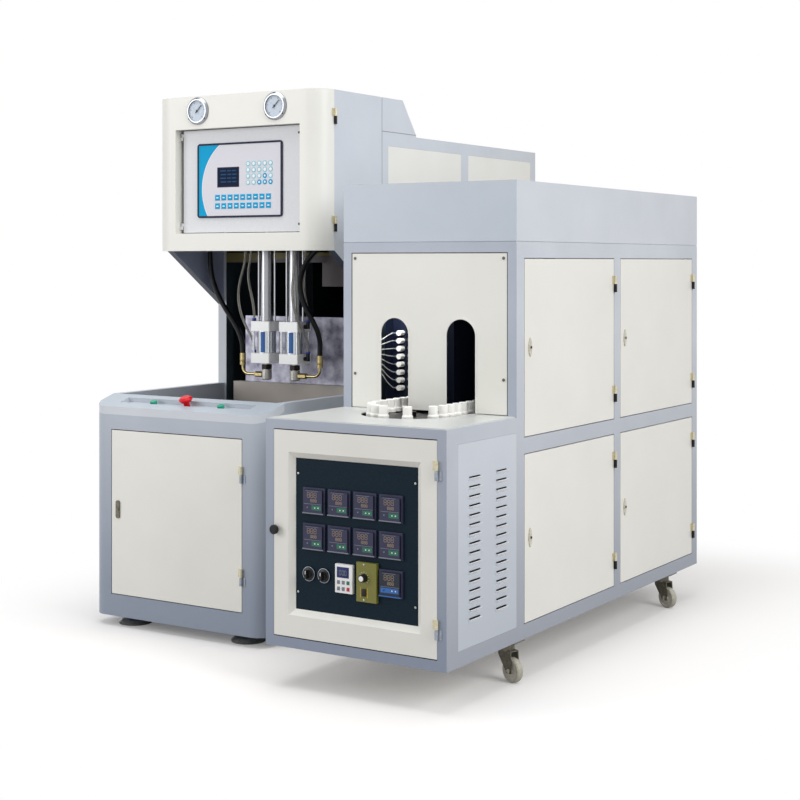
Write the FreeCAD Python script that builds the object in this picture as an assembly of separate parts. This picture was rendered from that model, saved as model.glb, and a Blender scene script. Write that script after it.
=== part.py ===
"""A bottle blow moulding machine: the blowing station and the preform heater that stands beside it.

All sizes are in millimetres. While it is built, the model lies in a layout frame: x = 0 is the right
side of the heater, y = 0 its low front, z = 0 the floor, +x to the right and +y to the back. At the
end every piece is moved so that the origin lies on the floor, in the middle of the whole machine.
"""
import FreeCAD, Part
import math
import os

Vec = FreeCAD.Vector
X_AXIS = Vec(1, 0, 0)
Y_AXIS = Vec(0, 1, 0)
Z_AXIS = Vec(0, 0, 1)

# ---- clearances -------------------------------------------------------------------------------
door_gap = 3.0            # gap round a door or panel in its opening
panel_gap = 0.4           # gap round a fixed panel
seat_gap = 0.3            # what lies between two curved faces, or two bodies, that nearly touch
running_gap = 0.05        # radial gap of a shaft or piston in its bore

# ---- heater: frame and cladding ---------------------------------------------------------------
heater_width = 642.0
heater_length = 1909.0
heater_low_depth = 423.0  # depth of the low front part
heater_bottom = 126.0     # underside of the frame, carried by the casters
table_top = 819.0
hood_bottom = 1357.0
heater_top = 1547.0
tube_x = 31.0             # frame tube, measured across the machine
post_y = 50.0             # frame post, measured along the machine
low_post_y = 65.0         # front posts of the low part
bottom_rail = 46.0
front_rail = 31.0
middle_rail_z = 700.0
middle_rail = 50.0
top_rail = 50.0
sheet = 2.0               # sheet metal
table_sheet = 3.0
table_inset = 6.0
hood_sheet = 3.0
hood_seam = 2.0           # groove between the frame and the hood
front_panel_bottom = 822.0
front_panel_top = 1324.0
front_panel_recess = 1.0
arch_width = 105.0
arch_top = 1114.0
arch_rim = 5.0
arch_spacing = 246.0      # between the middles of the two arches

# ---- heater: doors ----------------------------------------------------------------------------
door_depth = 18.0         # folded edge of a door
door_sheet = 2.0
front_door_margin = 32.0
hinge_radius = 5.5
hinge_length = 56.0
hinge_inset = 86.0        # from the end of a door to the middle of its hinge
hinge_pin_radius = 2.5
hinge_leaf = 15.0
hinge_leaf_sheet = 2.0
latch_height = 60.0
latch_width = 20.0
latch_inset = 33.0
latch_rise = 4.0
key_radius = 6.0
knob_radius = 14.5
knob_lift = 9.0           # above the middle of the door
knob_rise = 20.0
knob_inset = 9.0
knob_neck_radius = 8.0
knob_shaft_radius = 4.0

# ---- heater: control panel --------------------------------------------------------------------
window_width = 435.0
window_height = 458.0
window_bevel = 19.0
panel_depth = 15.0        # from the door's front to the front of the control panel
panel_sheet = 3.0
meter_size = 80.0
meter_rise = 6.0
meter_body = 72.0
meter_body_depth = 60.0
meter_pitch_x = 91.5
meter_pitch_z = 108.0
meter_left = 30.0         # from the window's left edge to the first meter
meter_drop = 86.0         # from the window's top to the first row's bottom less a meter
meter_gap_third = 111.0   # from the second to the third row
switch_radius = 19.0
switch_rise = 22.0
switch_shaft_radius = 5.0
switch_x = (50.0, 105.0)  # from the window's left edge
switch_z = 111.0          # above the window's lower edge
inverter_size = (61.0, 85.0)
inverter_at = (152.0, 69.0)
speed_size = (70.0, 116.0)
speed_at = (228.0, 51.0)
drive_unit_rise = 12.0
speed_knob_radius = 12.5
speed_knob_rise = 16.0
speed_knob_z = 71.0

# ---- heater: louvred panel --------------------------------------------------------------------
louvre_rows = 16
louvre_width = 70.0
louvre_pitch = 27.5
louvre_height = 13.0
louvre_rise = 7.0
louvre_columns = (162.0, 325.0)
louvre_first_z = 662.5
louvre_slot = 3.0         # open above the lip of a louvre
louvre_wall = 1.5
louvre_panel_bottom = 172.0
louvre_panel_top = 769.0

# ---- heater: preform conveyor and oven --------------------------------------------------------
chain_radius = 126.0
chain_front_y = 329.0     # middle of the front sprocket
chain_back_inset = 269.0  # from the middle of the back sprocket to the heater's back
chain_back_y = heater_length - chain_back_inset
chain_pitch = 41.0        # aimed at; the real pitch divides the loop evenly
chain_phase = 0.58        # how far the chain has moved on, as a share of its pitch
missing_holder_angles = (278.0, 315.0)  # where holders are missing, round the front sprocket
slot_margin = 32.0        # from the chain's line to the edge of the table's cut-out
holder_foot_radius = 17.5
holder_top_radius = 14.5
holder_foot = 8.0
holder_height = 34.0
holder_chamfer = 1.5
link_width = 16.0
link_thickness = 5.0
sprocket_hub_height = 14.0
bed_thickness = 6.0
bed_parts = 4             # pieces in each round end of the conveyor's bed
bed_leg = 20.0
bed_leg_inset = 150.0
sprocket_shaft_radius = 15.0
lamp_count = 8
lamp_pitch = 26.3
lamp_first_z = 872.0
lamp_offset = 93.5        # from the chain's straight run to the lamps beside it
lamp_front_y = 600.0
lamp_back_room = 40.0     # from the lamps' back end to the middle of the back sprocket
lamp_length = chain_back_y - lamp_back_room - lamp_front_y
lamp_radius = 5.0
lamp_end_radius = 9.0
lamp_end_length = 26.0
reflector_offset = 130.0  # from the chain's straight run to the plate behind the lamps
wire_radius = 1.5
wire_lead = 9.0           # how far a wire runs on from its terminal before it turns
wire_run_in = 21.0        # how far a wire runs straight into the terminal block
wire_way = [(2.0, 46.0, 0.3), (-9.0, 101.0, 0.85)]  # aside, forward, and the part of the rise
wire_fan_first_z = 941.0  # the wires' ends at the terminal block, from the lowest lamp up
wire_fan_pitch = 13.0
terminal_radius = 3.0
terminal_length = 8.0
terminal_inset = 6.0      # from a lamp's front end
block_width = 15.0
block_depth = 26.0
block_inset = 18.0        # from the front panel to the terminal block
core_offset = 65.0        # from the chain's straight run to the plate between the runs
core_post = 24.0          # the square posts that carry the plate between the runs
core_post_inset = 60.0
oven_sheet = 3.0

# ---- casters ----------------------------------------------------------------------------------
caster_wheel_radius = 38.0
caster_wheel_width = 24.0
caster_trail = 30.0
caster_turn = -21.5       # degrees that the wheels stand off the machine's x axis
caster_inset = 45.0       # from the heater's side to the swivel axis
caster_front_y = 441.0
caster_back_inset = 239.0
caster_plate = 4.0
caster_plate_size = (92.0, 68.0)
caster_race_radius = 26.0
caster_race_top = 122.0
caster_head_top = 105.0
caster_head = 10.0
caster_leg = 3.0
caster_axle_radius = 5.0
kingpin_radius = 8.0

# ---- blowing station: base --------------------------------------------------------------------
station_gap = 258.0       # between the heater and the blowing station
blow_width = 773.0
blow_length = 1961.0
blow_front = 332.0        # how far its front stands behind the heater's
base_bottom = 36.0
base_top = 815.0
base_wall = 30.0
base_corner = 60.0
base_floor = 3.0
console_front_z = 780.0
console_run = 113.0
console_thick = 28.0
tray_length = 578.0
tray_from_front = 43.0
tray_width = 47.0
tray_depth = 16.0
base_door_width = 583.0
base_door_height = 581.0
base_door_bottom = 116.0
base_hinge_inset = 118.0
lock_height = 63.0
lock_width = 18.0
lock_inset = 30.0
button_spacing = 152.0
button_radius = 13.0
button_height = 18.0
button_travel = 3.0
button_collar_radius = 17.0
stop_radius = 24.0
stop_stem_radius = 11.0
stop_height = 40.0
stop_travel = 4.0
foot_radius = 59.0
foot_height = 22.0
foot_stud_radius = 8.0
foot_spacing = 510.0
foot_inset = 85.0

# ---- blowing station: head --------------------------------------------------------------------
head_front = 332.0        # how far the head's cover stands behind the base's front
head_seam = 411.0         # how far the cover's edge stands behind the base's front
head_bottom = 1335.0
machine_top = 1907.0
cover_corner = 78.0
cover_sheet = 2.0
head_hinge_inset = 95.0
recess_width = 571.0
recess_rise = 65.0        # from the head's bottom to the recess
recess_drop = 121.0       # from the recess to the machine's top
recess_depth = 44.0
recess_offset = 6.0       # the recess lies a little to the right of the middle
inner_panel_set = 30.0    # depth of the inner panel in the recess
inner_panel_edge = 10.0
inner_hinge_strip = 14.0
inner_hinge_radius = 4.0
inner_hinge_length = 24.0
keypad_width = 391.0
keypad_rise_z = 57.0      # from the recess's bottom to the keypad
keypad_drop = 54.0        # from the keypad to the recess's top
keypad_rise = 5.0
keypad_rim = 7.0
gauge_radius = 51.0
gauge_body_radius = 40.0
gauge_spacing = 356.0
gauge_drop = 55.0         # below the machine's top
gauge_rise = 9.0
gauge_body_depth = 32.0
side_plate = 28.0
column_face = 718.0       # how far the column's face stands behind the base's front
side_plate_low = 1127.0   # where the side plate's slanted edge meets the column
rear_drop = 134.0         # how far the rear cabinet's roof lies below the machine's top
cap_depth = 149.0         # flat top of the hood behind the column's face
cap_slope = 97.0

# ---- blowing station: rear cabinet ------------------------------------------------------------
rear_tube = 40.0
rear_post = 47.0
rear_middle_post = 57.0
rear_bottom_rail = 60.0
rear_middle_rail_z = 770.0
rear_top_rail = 45.0
rear_roof = 3.0

# ---- blowing station: clamp -------------------------------------------------------------------
platen_width = 620.0
front_platen_y = 458.0    # how far the fixed platen's front stands behind the base's front
platen_thick = 40.0
daylight = 220.0          # room between the platens for the mould
front_platen_top = 770.0
moving_platen_top = 824.0
platen_bottom = 300.0
platen_leg = 80.0
clamp_travel = 150.0
tie_bar_radius = 20.0
tie_bar_spacing = 500.0
tie_bar_z = (370.0, 690.0)
rear_platen_y = 1368.0    # how far the rear platen's front stands behind the base's front
guard_width = 562.0
guard_bottom = 720.0
guard_top = 1082.0
guard_sheet = 4.0
clamp_z = 530.0
clamp_rod_radius = 30.0
clamp_piston_radius = 60.0
clamp_wall = 16.0
clamp_flange = 12.0       # how far the clamp cylinder's end flanges stand out
clamp_end_room = 25.0      # between the piston and each end of its bore
clamp_piston = 25.0

# ---- blowing station: blowing unit ------------------------------------------------------------
blow_axis_y = 613.0       # how far the nozzles stand behind the base's front
blow_pitch = 132.0
cap_size = 88.0
top_cap = (1032.0, 1069.0)
bottom_cap = (911.0, 948.0)
barrel_radius = 36.0
barrel_bore = 31.5
tie_rod_radius = 4.0
tie_rod_spacing = 72.0
column_radius = 24.0
column_bore = 9.0
guide_rod_radius = 4.0
guide_rod_offset = 38.0
mount_plate_rise = 10.0   # above the head's bottom
mount_plate_thick = 18.0
mount_plate_depth = 150.0
nozzle_tip_z = 846.0
nozzle_radius = 19.0
nozzle_top_z = 884.0
nozzle_stem_radius = 11.0
nozzle_bore = 7.5
nozzle_nut_z = (886.0, 904.0)
nozzle_nut_radius = 21.0
nozzle_travel = 60.0
piston_end_room = 5.0     # between a piston and the bottom cap when its nozzle is down
piston_thick = 16.0
piston_top_z = bottom_cap[1] + piston_end_room + nozzle_travel + piston_thick
port_z = 865.0
port_reach = 115.0        # from the nozzle's axis to the hose's axis
port_pipe_radius = 5.5
port_bend = 26.0
union_radius = 11.0
union_length = 34.0
ferrule_radius = 11.5
ferrule_z = (899.0, 944.0)
stretch_rod_radius = 6.0
stretch_rod_tip_z = 855.0
crosshead_height = 20.0
crosshead_size = (230.0, 60.0)
stretch_end_room = 12.0   # between the crosshead and the plate below it when the rods are down
stretch_cylinder_gap = 22.0
stretch_cylinder_ends = 63.0  # what the cylinder is longer than its travel
stretch_arm = 12.0        # the arm that the cylinder hangs from
stretch_arm_drop = 5.0    # below the machine's top
stretch_rod_room = 1.0    # round a stretch rod in the caps and the plate
stretch_cylinder_radius = 30.0
stretch_cylinder_bore = 25.0
stretch_piston_rod = 8.0
beam_z = (1292.0, 1330.0)
beam_depth = 40.0
beam_plate_start = 90.0   # from the blowing station's middle
beam_plate_drop = 92.0
beam_plate_thick = 6.0
hose_radius = 9.75
air_tube_radius = 5.0
fitting_radius = 7.5
fitting_length = 24.0

# ---- hose routes: steps to the right, to the back and up from where each hose starts -------------
black_route_left = [(0, 0, 0), (0, 0, 20), (-4, -1, 50), (-19, -5, 88), (-47, -10, 132), (-84, -16, 182),
                    (-115, -22, 240), (-133, -25, 290), (-141, -27, 352)]
black_route_right = [(0, 0, 0), (0, 0, 18), (3, -2, 48), (2, -12, 84), (-11, -28, 128), (-32, -42, 172),
                     (-48, -50, 218), (-52, -56, 262), (-42, -62, 304), (-14, -72, 346), (28, -84, 382),
                     (78, -92, 412), (132, -94, 428)]
clear_route_left_low = [(0, 0, 0), (0, 0, 17), (-6, -3, 46), (-30, -10, 90), (-56, -14, 144), (-66, -16, 202),
                        (-60, -16, 258), (-42, -16, 310), (-30, -16, 352)]
clear_route_left_high = [(0, 0, 0), (0, 0, 30), (-8, -6, 90), (-22, -8, 144), (-22, -8, 196), (-10, -8, 236)]
clear_route_right_low = [(0, 0, 0), (0, 0, 17), (2, -6, 44), (-2, -26, 82), (-14, -48, 124), (-26, -58, 178),
                         (-30, -60, 234), (-24, -60, 288), (-18, -60, 344)]
clear_route_right_high = [(0, 0, 0), (0, 0, 20), (-2, -4, 54), (-9, -9, 96), (-12, -12, 148), (-6, -12, 202),
                          (-4, -12, 238)]

# ---- places worked out from the sizes above ---------------------------------------------------
rear_top = machine_top - rear_drop
recess_bottom = head_bottom + recess_rise
recess_height = machine_top - recess_drop - recess_bottom
keypad_bottom = recess_bottom + keypad_rise_z
keypad_height = recess_height - keypad_rise_z - keypad_drop
gauge_z = machine_top - gauge_drop
mount_plate_z = (head_bottom + mount_plate_rise, head_bottom + mount_plate_rise + mount_plate_thick)
stretch_cylinder_top = machine_top - stretch_arm_drop - stretch_arm
stretch_room = (stretch_cylinder_top - mount_plate_z[1] - stretch_end_room - crosshead_height
                - stretch_cylinder_gap)
stretch_travel = (stretch_room - stretch_cylinder_ends) / 2
crosshead_low = mount_plate_z[1] + stretch_end_room + stretch_travel
crosshead_z = (crosshead_low, crosshead_low + crosshead_height)
stretch_cylinder_z = (crosshead_z[1] + stretch_cylinder_gap, stretch_cylinder_top)
heater_left = -heater_width
heater_mid = heater_left / 2
blow_right = heater_left - station_gap
blow_left = blow_right - blow_width
blow_mid = (blow_left + blow_right) / 2
blow_back = blow_front + blow_length
column_y = blow_front + column_face
cover_y = blow_front + head_front
seam_y = blow_front + head_seam
nozzle_y = blow_front + blow_axis_y
run_left = heater_mid - chain_radius
run_right = heater_mid + chain_radius


# ---- shapes -----------------------------------------------------------------------------------
def box(x, y, z):
    """A block between two values along each axis."""
    return Part.makeBox(x[1] - x[0], y[1] - y[0], z[1] - z[0], Vec(x[0], y[0], z[0]))


def rod(radius, start, axis, length):
    return Part.makeCylinder(radius, length, Vec(*start), axis)


def face(points):
    """A flat face through corner points."""
    return Part.Face(Part.makePolygon(points + [points[0]]))


def rectangle(x, y, z):
    """The corners of an upright rectangle at the depth y."""
    return [Vec(x[0], y, z[0]), Vec(x[1], y, z[0]), Vec(x[1], y, z[1]), Vec(x[0], y, z[1])]


def prism_x(outline, x):
    """An outline in (y, z), swept along x."""
    return face([Vec(x[0], y, z) for y, z in outline]).extrude(Vec(x[1] - x[0], 0, 0))


def prism_y(outline, y):
    """An outline in (x, z), swept along y."""
    return face([Vec(x, y[0], z) for x, z in outline]).extrude(Vec(0, y[1] - y[0], 0))


def prism_z(outline, z):
    """An outline in (x, y), swept up."""
    return face([Vec(x, y, z[0]) for x, y in outline]).extrude(Vec(0, 0, z[1] - z[0]))


def turned(outline, at=(0, 0, 0), axis=Z_AXIS):
    """An outline in (radius, height), turned about an axis through a place."""
    shape = face([Vec(r, 0, h) for r, h in outline]).revolve(Vec(0, 0, 0), Z_AXIS, 360)
    return placed(shape, at, axis)


def placed(shape, at, axis=Z_AXIS):
    """A shape built upright at the origin, tipped onto an axis and moved to its place."""
    moved = shape.copy()
    moved.Placement = FreeCAD.Placement(Vec(*at), FreeCAD.Rotation(Z_AXIS, axis)).multiply(moved.Placement)
    return moved


def tube(outer, inner, start, axis, length):
    return rod(outer, start, axis, length).cut(rod(inner, start, axis, length))


def hexagon(radius, z, at, axis=Z_AXIS):
    """A six-sided block with its corners on a radius, before its bore."""
    corners = [(radius * math.cos(math.radians(60 * i)), radius * math.sin(math.radians(60 * i)))
               for i in range(6)]
    return placed(prism_z(corners, z), at, axis)


def fused(shapes):
    """Several touching shapes as one solid."""
    return shapes[0].multiFuse(shapes[1:]).removeSplitter()


def group(shapes):
    return Part.makeCompound(shapes)


def bay(x, y_front, y_back, z, radius):
    """A block whose two front upright edges are rounded."""
    left, right = x
    turn = radius * (1 - math.sqrt(0.5))
    p = [Vec(left, y_back, z[0]), Vec(left, y_front + radius, z[0]),
         Vec(left + turn, y_front + turn, z[0]), Vec(left + radius, y_front, z[0]),
         Vec(right - radius, y_front, z[0]), Vec(right - turn, y_front + turn, z[0]),
         Vec(right, y_front + radius, z[0]), Vec(right, y_back, z[0])]
    edges = [Part.makeLine(p[0], p[1]), Part.Arc(p[1], p[2], p[3]).toShape(), Part.makeLine(p[3], p[4]),
             Part.Arc(p[4], p[5], p[6]).toShape(), Part.makeLine(p[6], p[7]), Part.makeLine(p[7], p[0])]
    return Part.Face(Part.Wire(edges)).extrude(Vec(0, 0, z[1] - z[0]))


def rounded_route(points):
    """A line along a route, with arcs as large as the runs beside them allow, and its least radius."""
    corners = [Vec(*p) for p in points]
    edges = []
    start = corners[0]
    radii = []
    for before, corner, after in zip(corners, corners[1:], corners[2:]):
        back = (before - corner).normalize()
        ahead = (after - corner).normalize()
        half_turn = (math.pi - back.getAngle(ahead)) / 2
        reach = 0.45 * min(before.distanceToPoint(corner), after.distanceToPoint(corner))
        radii.append(reach / math.tan(half_turn))
        apex = radii[-1] / math.cos(half_turn) - radii[-1]
        first = corner + back * reach
        last = corner + ahead * reach
        edges.append(Part.makeLine(start, first))
        edges.append(Part.Arc(first, corner + (back + ahead).normalize() * apex, last).toShape())
        start = last
    edges.append(Part.makeLine(start, corners[-1]))
    return Part.Wire(edges), min(radii)


def piped(path, radius, start, ahead):
    """A round bar along a path."""
    circle = Part.Wire(Part.makeCircle(radius, Vec(*start), ahead))
    return path.makePipeShell([circle], True, True)


def bent_tube(name, radius, points):
    """A hose along a route; its length and least radius are printed."""
    path, least = rounded_route(points)
    shape = piped(path, radius, points[0], Vec(*points[1]) - Vec(*points[0]))
    ratio = shape.Volume / (math.pi * radius ** 2 * path.Length)
    print(name, "length", round(path.Length), "least radius", round(least), "volume ratio", round(ratio, 4))
    return shape


# ---- hinges: an upper barrel welded to the door, a lower one with the pin on the frame -----------
def hinge_halves(axis_x, axis_y, middle_z, door_side, outward):
    """The two halves of a lift-off hinge; door_side and outward are unit vectors in the plan."""
    half = hinge_length / 2
    along = Vec(*door_side, 0)
    out = Vec(*outward, 0)
    centre = Vec(axis_x, axis_y, middle_z)

    def leaf(side, low):
        inner = centre - out * (hinge_radius + seat_gap)
        corner = inner + Vec(0, 0, low)
        far = corner + side * hinge_leaf + out * hinge_leaf_sheet
        return box(sorted((corner.x, far.x)), sorted((corner.y, far.y)),
                   (middle_z + low, middle_z + low + half - seat_gap))

    upper = fused([rod(hinge_radius, (axis_x, axis_y, middle_z + seat_gap), Z_AXIS, half - seat_gap),
                   leaf(along, seat_gap)])
    bore = rod(hinge_pin_radius + running_gap, (axis_x, axis_y, middle_z), Z_AXIS, half * 0.8)
    lower = fused([rod(hinge_radius, (axis_x, axis_y, middle_z - half), Z_AXIS, half - seat_gap),
                   rod(hinge_pin_radius, (axis_x, axis_y, middle_z - half), Z_AXIS, half * 1.7),
                   leaf(along * -1, -half)])
    return upper.cut(bore), lower


hinge_out = hinge_radius + seat_gap       # how far a hinge's axis stands out of the door's face
frame_hinge_halves = []                   # lower halves, all of them fixed to the two stations


def hinged(door, axis_x, axis_y, door_bottom, door_height, door_side, outward, inset=hinge_inset):
    """Adds the two upper hinge halves to a door and keeps the lower ones for the frame."""
    pieces = [door]
    for middle in (door_bottom + door_height - inset, door_bottom + inset):
        upper, lower = hinge_halves(axis_x, axis_y, middle, door_side, outward)
        pieces.append(upper)
        frame_hinge_halves.append(lower)
    return group(pieces)


# ---- the heater's frame -----------------------------------------------------------------------
side_column = (heater_length - heater_low_depth - 3 * post_y) / 2
post_places = [heater_low_depth + i * (side_column + post_y) for i in range(3)]
side_posts = [(y, y + post_y) for y in post_places]
side_openings_y = [(side_posts[0][1], side_posts[1][0]), (side_posts[1][1], side_posts[2][0])]
side_openings_z = [(heater_bottom + bottom_rail, middle_rail_z),
                   (middle_rail_z + middle_rail, hood_bottom - top_rail)]
low_top = table_top - table_sheet
side_tubes = [(heater_left, heater_left + tube_x), (-tube_x, 0.0)]
inner_x = (side_tubes[0][1], side_tubes[1][0])


def caster_places():
    places_y = (caster_front_y, heater_length - caster_back_inset)
    return [(x, y) for x in (heater_left + caster_inset, -caster_inset) for y in places_y]


def heater_frame():
    tubes = []
    low_rail_y = (low_post_y, heater_low_depth)
    for x in side_tubes:
        tubes += [box(x, y, (heater_bottom, hood_bottom)) for y in side_posts]
        tubes.append(box(x, (0, low_post_y), (heater_bottom, low_top)))
        tubes.append(box(x, low_rail_y, (heater_bottom, louvre_panel_bottom)))
        tubes.append(box(x, low_rail_y, (louvre_panel_top, low_top)))
        for y in side_openings_y:
            tubes.append(box(x, y, (heater_bottom, heater_bottom + bottom_rail)))
            tubes.append(box(x, y, (middle_rail_z, middle_rail_z + middle_rail)))
            tubes.append(box(x, y, (hood_bottom - top_rail, hood_bottom)))
    front_y = (0, tube_x)
    tall_y = (heater_low_depth, heater_low_depth + tube_x)
    back_y = (heater_length - tube_x, heater_length)
    tubes.append(box(inner_x, front_y, (heater_bottom, heater_bottom + front_rail)))
    tubes.append(box(inner_x, front_y, (low_top - front_rail + table_sheet, low_top)))
    tubes.append(box(inner_x, tall_y, (heater_bottom, heater_bottom + front_rail)))
    tubes.append(box(inner_x, tall_y, (front_panel_top + panel_gap, hood_bottom)))
    for z in (heater_bottom, middle_rail_z, hood_bottom - top_rail):
        tubes.append(box(inner_x, back_y, (z, z + bottom_rail)))
    for x, y in caster_places():
        long_side, short_side = caster_plate_size
        plate = box((x - long_side / 2, x + long_side / 2), (y - short_side / 2, y + short_side / 2),
                    (heater_bottom - caster_plate, heater_bottom))
        race = turned([(0, 0), (caster_race_radius, 0), (caster_race_radius, 8), (20, caster_race_top
                       - caster_head_top - seat_gap), (0, caster_race_top - caster_head_top - seat_gap)],
                      (x, y, caster_head_top + seat_gap))
        kingpin = rod(kingpin_radius, (x, y, caster_head_top - caster_head), Z_AXIS, caster_head + seat_gap)
        tubes.append(fused([plate, race, kingpin]))
    return group(tubes)


def heater_hood():
    outer = box((heater_left, 0), (heater_low_depth, heater_length), (hood_bottom + hood_seam, heater_top))
    inside_x = (heater_left + hood_sheet, -hood_sheet)
    inside_y = (heater_low_depth + hood_sheet, heater_length - hood_sheet)
    inner = box(inside_x, inside_y, (hood_bottom, heater_top - hood_sheet))
    rim = box(inside_x, inside_y, (hood_bottom, hood_bottom + hood_seam + 6))
    opening = box((heater_left + tube_x, -tube_x), (heater_low_depth + post_y, heater_length - post_y),
                  (hood_bottom, hood_bottom + hood_seam + 6))
    return fused([outer.cut(inner), rim.cut(opening)])


arch_middles = [heater_mid - arch_spacing / 2, heater_mid + arch_spacing / 2]
front_panel_y = (heater_low_depth + front_panel_recess, heater_low_depth + front_panel_recess + sheet)


def arch(middle, width, top, y):
    """A round-headed opening that stands on the table."""
    radius = width / 2
    legs = box((middle - radius, middle + radius), y, (front_panel_bottom - sheet, top - radius))
    return legs.fuse(rod(radius, (middle, y[0], top - radius), Y_AXIS, y[1] - y[0]))


def heater_front_panel():
    panel_x = (inner_x[0] + panel_gap, inner_x[1] - panel_gap)
    panel = box(panel_x, front_panel_y, (front_panel_bottom, front_panel_top))
    raised_y = (front_panel_y[0] - sheet, front_panel_y[1])
    rim_low = box(inner_x, raised_y, (0, front_panel_bottom))
    for middle in arch_middles:
        rim = arch(middle, arch_width + 2 * arch_rim, arch_top + arch_rim, raised_y)
        panel = panel.fuse(rim.cut(rim_low))
    for middle in arch_middles:
        panel = panel.cut(arch(middle, arch_width, arch_top, (raised_y[0] - 1, raised_y[1] + 1)))
    return panel.removeSplitter()


def stadium(radius, z):
    """A block with round ends that follows the conveyor's loop."""
    straight = box((heater_mid - radius, heater_mid + radius), (chain_front_y, chain_back_y), z)
    ends = [rod(radius, (heater_mid, y, z[0]), Z_AXIS, z[1] - z[0]) for y in (chain_front_y, chain_back_y)]
    return straight.multiFuse(ends).removeSplitter()


def heater_table():
    """The table with its cut-out for the conveyor, and the bed that carries the conveyor."""
    low_x = (heater_left + table_inset, -table_inset)
    low = box(low_x, (table_inset, heater_low_depth), (low_top, table_top))
    tall = box(inner_x, (heater_low_depth, heater_length - tube_x), (low_top, table_top))
    table = fused([low, tall])
    for x in side_tubes:
        post = box(x, (heater_low_depth, heater_length), (low_top - 1, table_top + 1))
        table = table.cut(post)
    return table.cut(stadium(chain_radius + slot_margin, (low_top - 1, table_top + 1)))


def louvre_panel():
    """The low side panel, with pressed louvres that open upwards."""
    panel = box((-sheet, 0), (low_post_y + panel_gap, heater_low_depth - panel_gap),
                (louvre_panel_bottom + panel_gap, louvre_panel_top - panel_gap))
    hoods = []
    slots = []
    for middle in louvre_columns:
        for row in range(louvre_rows):
            low = louvre_first_z - row * louvre_pitch - louvre_height / 2
            high = low + louvre_height
            y = (middle - louvre_width / 2, middle + louvre_width / 2)
            lip = high - louvre_slot
            inside = louvre_rise - louvre_wall
            outline = [(0, low), (louvre_rise, lip - louvre_wall), (louvre_rise, lip), (0, lip)]
            hollow = [(-sheet - 1, low + louvre_slot), (0, low + louvre_slot), (inside, lip - louvre_wall),
                      (inside, high), (-sheet - 1, high)]
            hoods.append(prism_y(outline, y))
            slots.append(prism_y([(hx, hz) for hx, hz in hollow], (y[0] + 2, y[1] - 2)))
    return panel.multiFuse(hoods).cut(Part.makeCompound(slots)).removeSplitter()


def heater_panels():
    """Fixed sheets: the left side, the back, the low left side and the bottom."""
    panels = []
    for y in side_openings_y:
        for z in side_openings_z:
            panels.append(box((heater_left, heater_left + sheet), (y[0] + panel_gap, y[1] - panel_gap),
                              (z[0] + panel_gap, z[1] - panel_gap)))
    low_y = (low_post_y + panel_gap, heater_low_depth - panel_gap)
    panels.append(box((heater_left, heater_left + sheet), low_y,
                      (louvre_panel_bottom + panel_gap, louvre_panel_top - panel_gap)))
    panel_x = (inner_x[0] + panel_gap, inner_x[1] - panel_gap)
    for z in ((heater_bottom + bottom_rail, middle_rail_z),
              (middle_rail_z + bottom_rail, hood_bottom - top_rail)):
        panels.append(box(panel_x, (heater_length - sheet, heater_length),
                          (z[0] + panel_gap, z[1] - panel_gap)))
    for y in ((tube_x, heater_low_depth), (heater_low_depth + tube_x, heater_length - tube_x)):
        panels.append(box(panel_x, (y[0] + panel_gap, y[1] - panel_gap),
                          (heater_bottom, heater_bottom + sheet)))
    return group(panels)


def latch_plate(y, z):
    """A pointed oval latch with its key barrel, standing out of a side door."""
    half = latch_height / 2
    bulge = latch_width / 2
    edges = [Part.Arc(Vec(0, 0, -half), Vec(0, -bulge, 0), Vec(0, 0, half)).toShape(),
             Part.Arc(Vec(0, 0, half), Vec(0, bulge, 0), Vec(0, 0, -half)).toShape()]
    plate = Part.Face(Part.Wire(edges)).extrude(Vec(latch_rise, 0, 0))
    barrel = rod(key_radius, (0, 0, 0), X_AXIS, latch_rise + 2)
    return placed(fused([plate, barrel]), (0, y, z))


def pan_door(x, y, z, open_axis):
    """A door pressed from sheet with folded edges, hollow behind; open_axis is where the hollow faces."""
    outer = box(x, y, z)
    t = door_sheet
    if open_axis == "y":
        return outer.cut(box((x[0] + t, x[1] - t), (y[0] + t, y[1] + 1), (z[0] + t, z[1] - t)))
    return outer.cut(box((x[0] - 1, x[1] - t), (y[0] + t, y[1] - t), (z[0] + t, z[1] - t)))


def side_door(column, row):
    opening_y = side_openings_y[column]
    opening_z = side_openings_z[row]
    y = (opening_y[0] + door_gap, opening_y[1] - door_gap)
    z = (opening_z[0] + door_gap, opening_z[1] - door_gap)
    door = pan_door((-door_depth, 0), y, z, "x")
    axis = side_door_axis(column)
    latch = latch_plate(y[0] + latch_inset, (z[0] + z[1]) / 2)
    whole = hinged(door, axis[0], axis[1], z[0], z[1] - z[0], (0, -1), (1, 0))
    return group(whole.Solids + [latch])


def side_door_axis(column):
    return (hinge_out, side_openings_y[column][1] - door_gap / 2)


# ---- the heater's front door and its controls --------------------------------------------------
front_opening_x = (heater_left + front_door_margin - door_gap, -front_door_margin + door_gap)
front_opening_z = (heater_bottom + front_rail, low_top - front_rail + table_sheet)
front_door_x = (front_opening_x[0] + door_gap, front_opening_x[1] - door_gap)
front_door_z = (front_opening_z[0] + door_gap, front_opening_z[1] - door_gap)
front_door_axis = (front_opening_x[1] - door_gap / 2, -hinge_out)
window_x = (heater_mid - window_width / 2, heater_mid + window_width / 2)
window_mid_z = (front_door_z[0] + front_door_z[1]) / 2
window_z = (window_mid_z - window_height / 2, window_mid_z + window_height / 2)
panel_y = (panel_depth, panel_depth + panel_sheet)


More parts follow.
